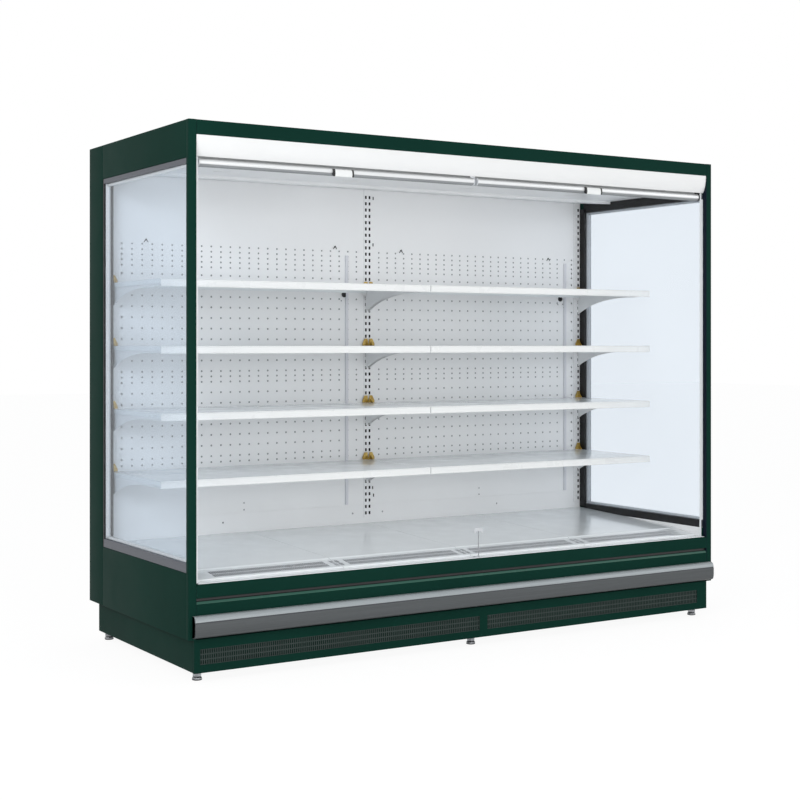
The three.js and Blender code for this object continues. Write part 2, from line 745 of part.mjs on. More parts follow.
add("insulated_carcass", insulatedCarcass(), GREEN);
SIDES.forEach((side, i) => {
  const hand = HANDS[i];
  const rear = STRIP_FRONT - GAP;
  const low = BASE_TOP + GAP;
  add(`corner_post_${hand}`, cornerPost(side), GREEN);
  add(`header_side_panel_${hand}`, endPanel(side, PANEL_FRONT, rear, RAIL.top, HEIGHT), GREEN);
  add(`lower_side_panel_${hand}`, endPanel(side, PANEL_FRONT, rear, low, RAIL.bottom - GAP), GREEN);
  add(`rear_side_panel_${hand}`, endPanel(side, STRIP_FRONT, REAR, low, HEIGHT), GREEN);
  add(`glass_frame_${hand}`, glassFrame(side), RAIL_GREY);
  add(`side_glass_${hand}`, sideGlass(side), GLASS);
});

add("header_fascia", headerFascia(), GREEN);
add("canopy_liner", canopyLiner(), WHITE);
add("ceiling_panel", ceilingPanel(), WHITE);
add("outlet_honeycomb", outletHoneycomb(), ALUMINIUM);
add("light_bar", lightBar(), LAMP);

add("sill_cap", sillCap(), WHITE);
add("front_panel", frontPanel(), GREEN);
add("bumper_rail", bumperRail(), BUMPER_GREY);
add("catch_post", catchPost(), WHITE);

const deckSpans = [
  [LAP, DECK_JOINT - LAP, ...RETURN.x[0]],
  [DECK_JOINT + LAP, BAY - LAP, ...RETURN.x[1]],
];
const flipped = deckSpans.map(([a, b, c, d]) => [-b, -a, -d, -c]).reverse();
[...flipped, ...deckSpans].forEach((span, i) => add(`deck_pan_${i + 1}`, deckPan(...span), WHITE));

const panelEdge = UPRIGHT.width / 2 + GAP;
const panelEnd = BAY - LAP - UPRIGHT.width - GAP;
add("back_panel_left", backPanel(-panelEnd, -panelEdge, RACEWAY.x[0]), WHITE);
add("back_panel_right", backPanel(panelEdge, panelEnd, RACEWAY.x[1]), WHITE);
add("lower_back_panel", lowerBackPanel(), WHITE);
add("upright_left", upright(LAP - BAY + UPRIGHT.width / 2, [SLOT_X[0]]), WHITE);
add("upright_middle", upright(0, [SLOT_X[1], SLOT_X[2]]), WHITE);
add("upright_right", upright(BAY - LAP - UPRIGHT.width / 2, [SLOT_X[3]]), WHITE);

const shelfSpans = [[-SHELF.end, -SHELF.joint], [SHELF.joint, SHELF.end]];
shelfSpans.forEach(([x0, x1], bay) =>
  TIERS.forEach((top, tier) => {
    const brackets = SLOT_X.slice(2 * bay, 2 * bay + 2);
    add(`shelf_${HANDS[bay]}_${tier + 1}`, shelf(x0, x1, brackets, top), WHITE);
  }),
);

SIDES.forEach((side, i) => {
  const hand = HANDS[i];
  const span = ordered(side, BAR.inner, BAR.outer);
  const cloth = ordered(side, BAR.inner + CLOTH_INSET, BAR.outer - CLOTH_INSET);
  const spindle = ordered(side, GAP, LINER_END - GAP);
  add(`curtain_bar_${hand}`, curtainBar(...span, HANDLE_X[i]), ALUMINIUM);
  add(`curtain_roller_${hand}`, curtainRoller(...cloth, ...spindle), FABRIC);
  add(`curtain_strip_${hand}`, block(...cloth, CURTAIN.y0, CURTAIN.y1, BAR.z1 + GAP, ROLLER.z), FABRIC);
});

add("evaporator_coil", evaporatorCoil(), ALUMINIUM);
add("fan_tray", fanTray(), GREY_STEEL);
FAN.x.forEach((x, i) => add(`fan_rotor_${HANDS[i]}`, fanRotor(x), DARK));

export default cabinet;
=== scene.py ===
"""The looks of an open multideck display fridge, built around its CAD frame.

Sizes are in millimetres until a mesh is made. +X runs along the cabinet, +Y to its back, +Z up.
"""
import math

import bmesh
import bpy
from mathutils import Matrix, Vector


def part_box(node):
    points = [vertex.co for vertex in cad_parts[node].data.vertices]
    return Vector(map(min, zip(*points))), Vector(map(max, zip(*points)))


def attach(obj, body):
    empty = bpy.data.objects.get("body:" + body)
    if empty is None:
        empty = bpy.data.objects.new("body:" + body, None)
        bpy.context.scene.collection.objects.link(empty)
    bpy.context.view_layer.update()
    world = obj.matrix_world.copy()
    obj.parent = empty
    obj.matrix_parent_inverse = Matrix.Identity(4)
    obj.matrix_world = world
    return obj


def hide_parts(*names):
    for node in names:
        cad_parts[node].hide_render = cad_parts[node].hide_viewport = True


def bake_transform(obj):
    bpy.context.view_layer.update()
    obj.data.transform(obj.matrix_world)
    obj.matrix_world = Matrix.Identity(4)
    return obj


MM = 0.001
HANDS = {"left": -1, "right": 1}

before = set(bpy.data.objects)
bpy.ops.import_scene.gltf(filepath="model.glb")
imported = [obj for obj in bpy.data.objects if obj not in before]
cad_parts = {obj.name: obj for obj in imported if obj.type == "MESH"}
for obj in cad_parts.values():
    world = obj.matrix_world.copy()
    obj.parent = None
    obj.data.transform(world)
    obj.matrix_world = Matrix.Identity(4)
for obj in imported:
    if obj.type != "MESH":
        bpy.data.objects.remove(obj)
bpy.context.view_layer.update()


# Camera

PHOTO_WIDTH = 800
FOCAL_PX = 1477  # focal length in pixels of the photograph
HORIZON_PX = 344  # row of the horizon
CAMERA_AT = (-3.492, -5.431, 1.237)
CAMERA_YAW = 32.17


def make_camera():
    data = bpy.data.cameras.new("camera")
    data.sensor_width = 36
    data.lens = FOCAL_PX / PHOTO_WIDTH * data.sensor_width
    data.shift_y = (HORIZON_PX - PHOTO_WIDTH / 2) / PHOTO_WIDTH
    camera = bpy.data.objects.new("camera", data)
    camera.location = CAMERA_AT
    camera.rotation_euler = (math.radians(90), 0, math.radians(-CAMERA_YAW))
    bpy.context.scene.collection.objects.link(camera)
    bpy.context.scene.camera = camera


make_camera()


# Materials

def linear(red, green, blue):
    """An sRGB colour, 0 to 255, as a linear one."""
    shares = [c / 255 for c in (red, green, blue)]
    return (*(s / 12.92 if s <= 0.04045 else ((s + 0.055) / 1.055) ** 2.4 for s in shares), 1)


class Nodes:
    """A material's node tree, with short calls for the nodes that these materials share."""

    def __init__(self, name):
        self.material = bpy.data.materials.new(name)
        self.material.use_nodes = True
        self.tree = self.material.node_tree
        self.shader = self.tree.nodes["Principled BSDF"]
        self.output = self.tree.nodes["Material Output"]

    def node(self, kind, **values):
        node = self.tree.nodes.new(kind)
        for key, value in values.items():
            if hasattr(node, key):
                setattr(node, key, value)
            else:
                node.inputs[key.replace("_", " ")].default_value = value
        return node

    def link(self, source, target):
        self.tree.links.new(source, target)

    def set(self, **values):
        for key, value in values.items():
            self.shader.inputs[key.replace("_", " ")].default_value = value

    def place(self, stretch=(1, 1, 1)):
        where = self.node("ShaderNodeTexCoord")
        mapping = self.node("ShaderNodeMapping")
        mapping.inputs["Scale"].default_value = stretch
        self.link(where.outputs["Object"], mapping.inputs["Vector"])
        return mapping.outputs["Vector"]

    def noise(self, scale, stretch=(1, 1, 1), detail=3.0, roughness=0.5):
        noise = self.node("ShaderNodeTexNoise", Scale=scale, Detail=detail, Roughness=roughness)
        self.link(self.place(stretch), noise.inputs["Vector"])
        return noise.outputs["Fac"]

    def between(self, factor, low, high):
        """The factor, 0.3 to 0.7 for noise, mapped to low to high."""
        span = self.node("ShaderNodeMapRange")
        for index, value in enumerate((0.3, 0.7, low, high), 1):
            span.inputs[index].default_value = value
        self.link(factor, span.inputs[0])
        return span.outputs[0]

    def mix(self, factor, first, second):
        mix = self.node("ShaderNodeMix", data_type="RGBA")
        mix.inputs[6].default_value = first
        mix.inputs[7].default_value = second
        self.link(factor, mix.inputs[0])
        return mix.outputs[2]

    def colours(self, factor, first, second):
        self.link(self.mix(factor, first, second), self.shader.inputs["Base Color"])

    def bump(self, height, strength, distance_mm):
        bump = self.node("ShaderNodeBump", Strength=strength, Distance=distance_mm * MM)
        self.link(height, bump.inputs["Height"])
        self.link(bump.outputs["Normal"], self.shader.inputs["Normal"])


def shade(colour, factor):
    return (*(min(1, c * factor) for c in colour[:3]), 1)


def powder_coat(name, colour, rough=0.36, peel=0.25, gloss=0.5, spread=0.06):
    """Baked paint: faint orange peel, and a little drift in tone and gloss over a panel."""
    n = Nodes(name)
    drift = n.noise(2.2, detail=2.0)
    n.colours(n.between(drift, 0, 1), shade(colour, 1 - spread), shade(colour, 1 + spread))
    n.link(n.between(n.noise(9), rough - 0.04, rough + 0.05), n.shader.inputs["Roughness"])
    n.bump(n.noise(420, detail=2.0), peel, 0.12)
    n.set(Specular_IOR_Level=gloss)
    return n.material


def brushed(name, colour, rough=0.32, metallic=0.9, spread=0.12, grain=0.3):
    """Drawn or brushed metal, with its grain along X."""
    n = Nodes(name)
    streaks = n.noise(26, stretch=(0.05, 9, 9), detail=6.0, roughness=0.65)
    n.colours(n.between(streaks, 0, 1), shade(colour, 1 - spread), shade(colour, 1 + spread))
    n.link(n.between(streaks, rough - 0.06, rough + 0.1), n.shader.inputs["Roughness"])
    n.bump(n.noise(60, stretch=(0.05, 12, 12), detail=4.0), grain, 0.05)
    n.set(Metallic=metallic)
    return n.material


def moulded(name, colour, rough=0.45, grain=0.3, spread=0.05):
    """Moulded plastic or rubber with a fine texture."""
    n = Nodes(name)
    n.colours(n.between(n.noise(5), 0, 1), shade(colour, 1 - spread), shade(colour, 1 + spread))
    n.link(n.between(n.noise(14), rough - 0.05, rough + 0.06), n.shader.inputs["Roughness"])
    n.bump(n.noise(900, detail=2.0), grain, 0.08)
    return n.material


def zinc(name, colour, other, rough=0.34, metallic=0.85):
    """Zinc plate: a crystalline spangle, and patches where the passivation has another tone."""
    n = Nodes(name)
    cells = n.node("ShaderNodeTexVoronoi", Scale=160)
    n.link(n.place(), cells.inputs["Vector"])
    patches = n.noise(60, detail=4.0)
    both = n.node("ShaderNodeMath", operation="MULTIPLY_ADD")
    both.inputs[1].default_value = 0.35
    n.link(cells.outputs["Distance"], both.inputs[0])
    n.link(n.between(patches, 0, 0.8), both.inputs[2])
    n.colours(both.outputs[0], colour, other)
    n.link(n.between(patches, rough - 0.08, rough + 0.12), n.shader.inputs["Roughness"])
    n.bump(patches, 0.2, 0.05)
    n.set(Metallic=metallic)
    return n.material


def cloth(name, colour):
    """Woven night curtain: warp and weft as two crossed waves, with a little drift in tone."""
    n = Nodes(name)
    warp = n.node("ShaderNodeTexWave", Scale=260, bands_direction="X")
    weft = n.node("ShaderNodeTexWave", Scale=260, bands_direction="Z")
    for wave in (warp, weft):
        n.link(n.place(), wave.inputs["Vector"])
    weave = n.node("ShaderNodeMath", operation="MULTIPLY")
    n.link(warp.outputs["Fac"], weave.inputs[0])
    n.link(weft.outputs["Fac"], weave.inputs[1])
    n.colours(weave.outputs[0], shade(colour, 0.86), shade(colour, 1.05))
    n.bump(weave.outputs[0], 0.5, 0.3)
    n.set(Roughness=0.85, Sheen_Weight=0.25)
    return n.material


def opal(name, colour, glow):
    """A lamp's opal cover, which scatters a little light of its own."""
    n = Nodes(name)
    n.colours(n.between(n.noise(30), 0, 1), shade(colour, 0.97), colour)
    n.set(Roughness=0.3, Emission_Color=colour, Emission_Strength=glow)
    return n.material


def clear_glass(name, tint):
    """A thin clear pane: it passes light with a faint tint, and reflects by its angle."""
    n = Nodes(name)
    n.set(Base_Color=(1, 1, 1, 1), Roughness=0.03, Metallic=0)
    through = n.node("ShaderNodeBsdfTransparent")
    n.link(n.mix(n.between(n.noise(1.5), 0, 1), shade(tint, 0.992), tint), through.inputs["Color"])
    weight = n.node("ShaderNodeLayerWeight", Blend=0.5)
    steep = n.node("ShaderNodeMath", operation="POWER")
    steep.inputs[1].default_value = 5
    n.link(weight.outputs["Facing"], steep.inputs[0])
    share = n.node("ShaderNodeMath", operation="MULTIPLY_ADD")
    share.inputs[1].default_value = 0.4
    share.inputs[2].default_value = 0.02
    n.link(steep.outputs[0], share.inputs[0])
    both = n.node("ShaderNodeMixShader")
    n.link(share.outputs[0], both.inputs[0])
    n.link(through.outputs[0], both.inputs[1])
    n.link(n.shader.outputs[0], both.inputs[2])
    n.link(both.outputs[0], n.output.inputs["Surface"])
    return n.material


GREEN = powder_coat("green_paint", linear(18, 51, 43), rough=0.34, gloss=0.01, spread=0.08)
# a lighter green that paints the highlight on an edge that faces the light
GREEN_PAINTED_HIGHLIGHT = powder_coat("green_painted_highlight", linear(46, 86, 74), rough=0.3, gloss=0.2, spread=0.08)
WHITE = powder_coat("white_paint", linear(244, 245, 246), rough=0.34, peel=0.15, gloss=0.35, spread=0.015)
GLOSS_WHITE = powder_coat(
    "gloss_white_paint", linear(244, 248, 250), rough=0.14, peel=0.08, gloss=0.6, spread=0.01
)
CANOPY_WHITE = powder_coat(
    "canopy_paint", linear(238, 239, 239), rough=0.42, peel=0.1, gloss=0.3, spread=0.008
)
OUTER_SKIN = zinc("outer_steel_skin", linear(168, 172, 174), linear(190, 193, 194), rough=0.42, metallic=0.6)
DARK_GREEN = moulded("grille_paint", linear(15, 36, 32), rough=0.6)
RAIL_GREY = brushed("rail_grey", linear(74, 78, 87), rough=0.35, metallic=0.35, spread=0.05, grain=0.1)
# black rubber of the gaskets, also used as painted shade in the front panel's groove
BLACK_GASKET_AND_SHADE = moulded("black_gasket_and_painted_shade", linear(9, 10, 12), rough=0.5)
# painted shade, for hollows that should read dark
SHADOW = moulded("painted_shade_inside", linear(24, 25, 26), rough=0.8)
NAVY = powder_coat("post_inner_face", linear(22, 30, 42), rough=0.4, gloss=0.05)
BUMPER = brushed("bumper_grey", linear(72, 76, 78), rough=0.45, metallic=0.1, spread=0.16)
# a paler grey that paints the highlight on the bumper's upturned top
BUMPER_PAINTED_HIGHLIGHT = brushed("bumper_top_painted_highlight", linear(150, 157, 160), rough=0.36, metallic=0.2, spread=0.08)
BUMPER_DARK = moulded("bumper_groove", linear(70, 72, 76), rough=0.5)
ALUMINIUM = brushed("anodised_aluminium", linear(226, 228, 229), rough=0.3, metallic=0.35, spread=0.03)
COIL_FINS = brushed("coil_aluminium", linear(196, 200, 202), rough=0.35, metallic=0.9)
ZINC = zinc("zinc_plate", linear(178, 181, 184), linear(120, 122, 126))
YELLOW_ZINC = zinc("yellow_passivated_zinc", linear(202, 176, 98), linear(166, 134, 58), metallic=0.35)
# a grey used as painted shade: in the back panel's holes, and under the pull bar
PAINTED_SHADE_GREY = moulded("painted_shade_grey", linear(150, 153, 155), rough=0.8, spread=0.06)
RACEWAY = moulded("raceway_plastic", linear(222, 223, 229), rough=0.4, spread=0.015)
PLASTIC = moulded("white_plastic", linear(238, 240, 240), rough=0.3, grain=0.15, spread=0.01)
SOFT_GREY = moulded("grey_plastic", linear(205, 208, 212), rough=0.4, spread=0.02)
BLACK_PLASTIC = moulded("black_plastic", linear(22, 22, 24), rough=0.35)
GLASS = clear_glass("clear_glass", linear(250, 252, 254))
FABRIC = cloth("night_curtain_cloth", linear(226, 229, 229))
LAMP = opal("opal_cover", linear(244, 246, 248), 0.3)
COPPER = brushed("copper_tube", linear(184, 115, 81), rough=0.3, spread=0.1)


# Shapes

AXES = {"x": (1, 2, 0), "y": (0, 2, 1), "z": (0, 1, 2)}  # where a section's two numbers and the length go


def point(axis, a, b, along):
    u, v, w = AXES[axis]
    at = [0, 0, 0]
    at[u], at[v], at[w] = a, b, along
    return at


def rounded(points, radius, steps=5):
    """A closed outline with its corners rounded; a point may give its own radius as a third number."""
    result = []
    count = len(points)
    for i, (x, y, *own) in enumerate(points):
        corner = Vector((x, y))
        before = Vector(points[i - 1][:2]) - corner
        after = Vector(points[(i + 1) % count][:2]) - corner
        reach = own[0] if own else radius
        reach = min(reach, before.length * 0.49, after.length * 0.49)
        if reach < 1e-3:
            result.append((x, y))
            continue
        start, end = corner + before.normalized() * reach, corner + after.normalized() * reach
        for k in range(steps + 1):
            t = k / steps
            p = (1 - t) ** 2 * start + 2 * t * (1 - t) * corner + t * t * end
            result.append((p.x, p.y))
    return result


def bent(points, radius, steps=4):
    """An open line with its bends rounded."""
    return rounded([(*points[0], 0), *points[1:-1], (*points[-1], 0)], radius, steps)


def folded(points, thickness=1.5, radius=2.5, steps=4):
    """The section of folded sheet metal: its outer face, and the same line a thickness to its left."""
    line = [Vector(p) for p in bent(points, radius, steps)]
    line = [p for i, p in enumerate(line) if i == 0 or (p - line[i - 1]).length > 1e-3]
    sides = [Vector((a.y - b.y, b.x - a.x)).normalized() for a, b in zip(line, line[1:])]
    inner = []
    for i, p in enumerate(line):
        mitre = sides[max(i - 1, 0)] + sides[min(i, len(sides) - 1)]
        inner.append(p + mitre * (2 * thickness / mitre.length_squared))
    return [tuple(p) for p in line] + [tuple(p) for p in reversed(inner)]


def arc(cx, cy, radius, start, end, steps=8):
    angles = [math.radians(start + (end - start) * k / steps) for k in range(steps + 1)]
    return [(cx + radius * math.cos(a), cy + radius * math.sin(a)) for a in angles]


def swept(start, control, end, steps):
    """A curve from start to end, drawn towards control."""
    line = []
    for k in range(steps + 1):
        t = k / steps
        shares = ((1 - t) ** 2, 2 * t * (1 - t), t * t)
        line.append(tuple(sum(s * v for s, v in zip(shares, values)) for values in zip(start, control, end)))
    return line


def rectangle(a0, a1, b0, b1):
    return [(a0, b0), (a1, b0), (a1, b1), (a0, b1)]


def flip(points):
    return [(-a, b) for a, b in points]


class Piece:
    """One piece under construction: corners in millimetres, and faces with their material."""

    def __init__(self, name, *materials):
        self.name = name
        self.materials = materials
        self.points = []
        self.faces = []
        self.looks = []

    def add(self, points, faces, look=0):
        start = len(self.points)
        self.points += [tuple(p) for p in points]
        self.faces += [[start + i for i in face] for face in faces]
        self.looks += [look] * len(faces)
        return self

    def prism(self, section, low, high, axis="x", look=0):
        count = len(section)
        ends = [point(axis, a, b, w) for w in (low, high) for a, b in section]
        walls = [(i, (i + 1) % count, count + (i + 1) % count, count + i) for i in range(count)]
        caps = [tuple(range(count)), tuple(range(count, 2 * count))]
        return self.add(ends, walls + caps, look)

    def box(self, x0, x1, y0, y1, z0, z1, look=0):
        return self.prism(rectangle(x0, x1, y0, y1), z0, z1, "z", look)

    def lathe(self, profile, centre, axis="z", segments=24, look=0):
        """A profile of (radius, distance along the axis), turned round the axis through centre."""
        points, rings = [], []
        for radius, along in profile:
            around = 1 if radius < 1e-6 else segments
            rings.append(range(len(points), len(points) + around))
            for k in range(around):
                angle = 2 * math.pi * k / segments
                offset = point(axis, radius * math.cos(angle), radius * math.sin(angle), along)
                points.append([c + o for c, o in zip(centre, offset)])
        faces = []
        for low, high in zip(rings, rings[1:]):
            for k in range(segments):
                quad = [ring[i % len(ring)] for ring, i in ((low, k), (low, k + 1), (high, k + 1), (high, k))]
                face = list(dict.fromkeys(quad))
                if len(face) > 2:
                    faces.append(face)
        for ring in (rings[0], rings[-1]):
            if len(ring) > 1:
                faces.append(list(ring))
        return self.add(points, faces, look)

    def tube(self, path, radius, segments=10, look=0):
        """A round bar along a path of points."""
        line = [Vector(p) for p in path]
        points, faces = [], []
        side = None
        for i, p in enumerate(line):
            ahead = (line[min(i + 1, len(line) - 1)] - line[max(i - 1, 0)]).normalized()
            if side is None:
                side = ahead.orthogonal().normalized()
            side = (side - ahead * side.dot(ahead)).normalized()
            other = ahead.cross(side)
            for k in range(segments):
                angle = 2 * math.pi * k / segments
                points.append(p + side * (radius * math.cos(angle)) + other * (radius * math.sin(angle)))
        for i in range(len(line) - 1):
            for k in range(segments):
                a, b = i * segments + k, i * segments + (k + 1) % segments
                faces.append((a, b, b + segments, a + segments))
        last = len(points) - segments
        faces += [tuple(range(segments)), tuple(range(last, last + segments))]
        return self.add(points, faces, look)

    def plate(self, flat, faces, low, high, axis="y", look=0, edge_look=None):
        """A flat mesh of (a, b) points thickened between low and high, with walls round every hole."""
        count = len(flat)
        edges = {}
        for face in faces:
            for a, b in zip(face, face[1:] + face[:1]):
                edges[(min(a, b), max(a, b))] = edges.get((min(a, b), max(a, b)), 0) + 1
        walls = [(a, b, b + count, a + count) for (a, b), used in edges.items() if used == 1]
        points = [point(axis, a, b, w) for w in (low, high) for a, b in flat]
        both = [list(f) for f in faces] + [[i + count for i in reversed(f)] for f in faces]
        self.add(points, both, look)
        start = len(self.points) - len(points)
        self.faces += [[start + i for i in wall] for wall in walls]
        self.looks += [look if edge_look is None else edge_look] * len(walls)
        return self

    def paint(self, look, chosen):
        """Gives the faces whose centre is chosen another material."""
        for i, face in enumerate(self.faces):
            centre = sum((Vector(self.points[k]) for k in face), Vector()) / len(face)
            if chosen(centre):
                self.looks[i] = look
        return self

    def build(self, body="cabinet", replaces=(), bevel=0.0, sharp=32, parent=True):
        mesh = bpy.data.meshes.new(self.name)
        mesh.from_pydata([Vector(p) * MM for p in self.points], [], self.faces)
        for material in self.materials:
            mesh.materials.append(material)
        mesh.polygons.foreach_set("material_index", self.looks)
        tidy = bmesh_of(mesh)
        tidy.to_mesh(mesh)
        tidy.free()
        mesh.polygons.foreach_set("use_smooth", [True] * len(mesh.polygons))
        thing = bpy.data.objects.new(self.name, mesh)
        bpy.context.scene.collection.objects.link(thing)
        if bevel:
            modifier = thing.modifiers.new("edges", "BEVEL")
            modifier.width = bevel * MM
            modifier.segments = 2
            modifier.limit_method = "ANGLE"
            modifier.angle_limit = math.radians(sharp)
            modifier.harden_normals = True
        else:
            mesh.set_sharp_from_angle(angle=math.radians(sharp))
        if parent:
            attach(thing, body)
        if replaces:
            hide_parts(*([replaces] if isinstance(replaces, str) else replaces))
        return thing


def bmesh_of(mesh):
    tidy = bmesh.new()
    tidy.from_mesh(mesh)
    bmesh.ops.remove_doubles(tidy, verts=tidy.verts, dist=0.01 * MM)
    bmesh.ops.recalc_face_normals(tidy, faces=tidy.faces)
    return tidy


def grid_cells(us, vs, is_open):
    """A flat grid of rectangles between the lines us and vs, without the cells that is_open names."""
    points = [(u, v) for v in vs for u in us]
    wide = len(us)
    faces = [
        [j * wide + i, j * wide + i + 1, (j + 1) * wide + i + 1, (j + 1) * wide + i]
        for j in range(len(vs) - 1)
        for i in range(wide - 1)
        if not is_open(i, j)
    ]
    used = sorted({k for face in faces for k in face})
    new = {k: i for i, k in enumerate(used)}
    return [points[k] for k in used], [[new[k] for k in face] for face in faces]


def slotted(u0, u1, v0, v1, columns, rows):
    """A rectangle with a rectangular hole at every crossing of the columns and rows, each (low, high)."""
    us = [u0, *(edge for column in columns for edge in column), u1]
    vs = [v0, *(edge for row in rows for edge in row), v1]
    return grid_cells(us, vs, lambda i, j: i % 2 == 1 and j % 2 == 1)


def holed(us, vs, radius, has_hole):
    """A flat grid with a round hole, as an octagon, in the middle of each cell that has_hole names."""
    points, faces, index = [], [], {}

    def corner(i, j):
        if (i, j) not in index:
            index[(i, j)] = len(points)
            points.append((us[i], vs[j]))
        return index[(i, j)]

    for j in range(len(vs) - 1):
        for i in range(len(us) - 1):
            around = [corner(i, j), corner(i + 1, j), corner(i + 1, j + 1), corner(i, j + 1)]
            if not has_hole(i, j):
                faces.append(around)
                continue
            cx, cy = (us[i] + us[i + 1]) / 2, (vs[j] + vs[j + 1]) / 2
            start = len(points)
            points += arc(cx, cy, radius, -112.5, 202.5, 7)
            for k in range(4):
                low, high = start + 2 * k, start + 2 * k + 1
                following = start + (2 * k + 2) % 8
                faces.append([around[k], around[(k + 1) % 4], high, low])
                faces.append([around[(k + 1) % 4], following, high])
    return points, faces


def spread(count, low, high, size):
    pitch = (high - low) / count
    middles = [low + pitch * (i + 0.5) for i in range(count)]
    return [(m - size / 2, m + size / 2) for m in middles]


def corners(node):
    """A CAD node's box in millimetres: x0, x1, y0, y1, z0, z1."""
    low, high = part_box(node)
    return [v / MM for pair in zip(low, high) for v in pair]


def screw(piece, x, y, z, radius=4, look=0):
    """A pan head screw on a surface that faces the front."""
    dome = [(0, -2.2), (radius * 0.5, -2.0), (radius * 0.9, -1.2), (radius, 0), (0, 0)]
    piece.lathe(dome, (x, y, z), "y", 12, look)


# Sizes shared by several pieces

BAY = 1250
END = 1290
FRONT = -492
REAR = 522
HEIGHT = 2055
POST = 31
BACK = 400  # front of the back wall
SILL_TOP = 363
TRIM_END = 1243.5  # a white strip runs down the inner face of each corner post
CEILING = 1936
CEILING_STEP = (165, 1924)  # where the rear part of the ceiling begins
CEILING_REAR = 1946
SLOT_X = [-1238, -9.75, 9.75, 1238]
SLOT_PITCH = 29
SLOT_LOWEST = 461
SLOT_COUNT = 51
SLOT_HALF = 4.5  # half its width
SLOT_RISE = 7  # half its height
TIERS = [1490, 1229, 968, 707]
SHELF_FRONT = -128
SHELF_REAR = 388


# Base and feet

def base():
    x0, x1, y0, y1, z0, z1 = corners("kick_plate")
    skirt = Piece("base_frame", GREEN, SHADOW)
    _, fx1, fy0, fy1, _, fz1 = corners("base_frame")
    for side in (-1, 1):
        channel = folded([(fx1 - 40, z0), (fx1, z0), (fx1, fz1), (fx1 - 40, fz1)], radius=2)
        skirt.prism(channel if side > 0 else flip(channel), fy0, fy1, "y")
    rear = folded([(fy1 - 40, z0), (fy1, z0), (fy1, fz1), (fy1 - 40, fz1)], radius=2)
    skirt.prism(rear, 2 - fx1, fx1 - 2)
    front = folded([(fy0 + 40, fz1), (fy0, fz1), (fy0, z0), (fy0 + 60, z0)], radius=2)
    skirt.prism(front, 2 - fx1, fx1 - 2)
    skirt.prism(folded([(20, 100), (20, fz1), (-20, fz1), (-20, 100)], radius=2), fy0 + 2, fy1 - 2, "y")
    skirt.build(replaces="base_frame", bevel=0.4)

    plate = Piece("kick_plate", GREEN)
    windows = [(-1242, 5), (43, 1208)]
    flat, faces = slotted(x0, x1, z0, z1, windows, [GRILLE_Z])
    plate.plate(flat, faces, y0, y0 + 1.5)
    plate.box(x0, x0 + 1.5, y0 + 1.5, y1, z0, z1)
    plate.box(x1 - 1.5, x1, y0 + 1.5, y1, z0, z1)
    plate.box(x0 + 1.5, x1 - 1.5, y0 + 1.5, y1, z0, z0 + 1.5)
    plate.box(x0 + 1.5, x1 - 1.5, y0 + 1.5, y1, z1 - 1.5, z1)
    plate.build(replaces="kick_plate", bevel=0.5)
    for hand, (w0, w1) in zip(HANDS, windows):
        kick_grille(hand, w0, w1)


GRILLE_Z = (66, 123)
GRILLE_PITCH = 9.0
GRILLE_ROWS = 3


def kick_grille(hand, w0, w1):
    """Rows of upright slots with a rolled bar between them."""
    node = f"kick_grille_{hand}"
    x0, x1, y0, y1, z0, z1 = corners(node)
    grille = Piece(node, DARK_GREEN)
    columns = spread(round((w1 - w0) / GRILLE_PITCH), w0, w1, GRILLE_PITCH * 0.5)
    rows = spread(GRILLE_ROWS, *GRILLE_Z, 15)
    flat, faces = slotted(x0, x1, z0, z1, columns, rows)
    grille.plate(flat, faces, y0, y0 + 1.2)
    for z in (z0 + 3, z1 - 3):
        grille.box(x0, x1, y0 + 1.2, y1, z - 2, z + 2)
    grille.build(replaces=node)


def feet():
    for row in ("front", "rear"):
        for place in ("left", "middle", "right"):
            node = f"leveling_foot_{row}_{place}"
            x0, x1, y0, y1, _, top = corners(node)
            centre = ((x0 + x1) / 2, (y0 + y1) / 2, 0)
            foot = Piece(node, ZINC, BLACK_PLASTIC)
            pad = [(0, 0), (16, 0), (18.2, 0.8), (18.8, 3), (18.6, 4)]
            foot.lathe([*pad, (0, 4)], centre, segments=32, look=1)
            cup = [(0, 4.1), (18, 4.1), (18.4, 6), (17.8, 9), (15.5, 12), (12, 14), (0, 14)]
            foot.lathe(cup, centre, segments=32)
            nut = [(0, 14.1), (16.2, 14.1), (17.2, 15), (17.2, 25), (16.2, 26), (0, 26)]
            foot.lathe(nut, centre, segments=6)
            thread = [(0, 26.1)]
            for turn in range(22):
                thread += [(5.1, 26.1 + 3 * turn), (6, 27.6 + 3 * turn)]
            foot.lathe([*thread, (5.1, top - 0.5), (0, top)], centre, segments=16)
            foot.build(node, replaces=node, sharp=40)


# Carcass and end walls

def carcass():
    """The foamed body: a tub, a back wall and a roof, lined in white inside."""
    x1 = corners("insulated_carcass")[1]
    body = Piece("insulated_carcass", WHITE, OUTER_SKIN)
    section = rounded(
        [
            (-462, 160.3, 1), (REAR, 160.3, 2), (REAR, HEIGHT, 3), (FRONT + 26, HEIGHT, 1),
            (FRONT + 26, 2010, 1), (REAR - 50, 2010, 12), (REAR - 50, 210, 20), (-422, 210, 20),
            (-422, 352, 2), (-462, 352, 2),
        ],
        2,
    )
    for low, high in ((-x1, -0.4), (0.4, x1)):
        body.prism(section, low, high)
    drain = [(16, 112), (21, 112), (21, 160.2), (16, 160.2)]
    body.lathe(drain, (300, 50, 0), look=1)
    body.paint(1, lambda c: c.y > REAR - 6 or c.z > HEIGHT - 4 or c.z < 165)
    for z in range(220, 2040, 225):
        for x in (-1215, -22, 22, 1215):
            body.lathe([(0, -2), (3, -1.6), (4.5, 0), (0, 0)], (x, REAR, z), "y", 10, look=1)
    body.build(replaces="insulated_carcass")


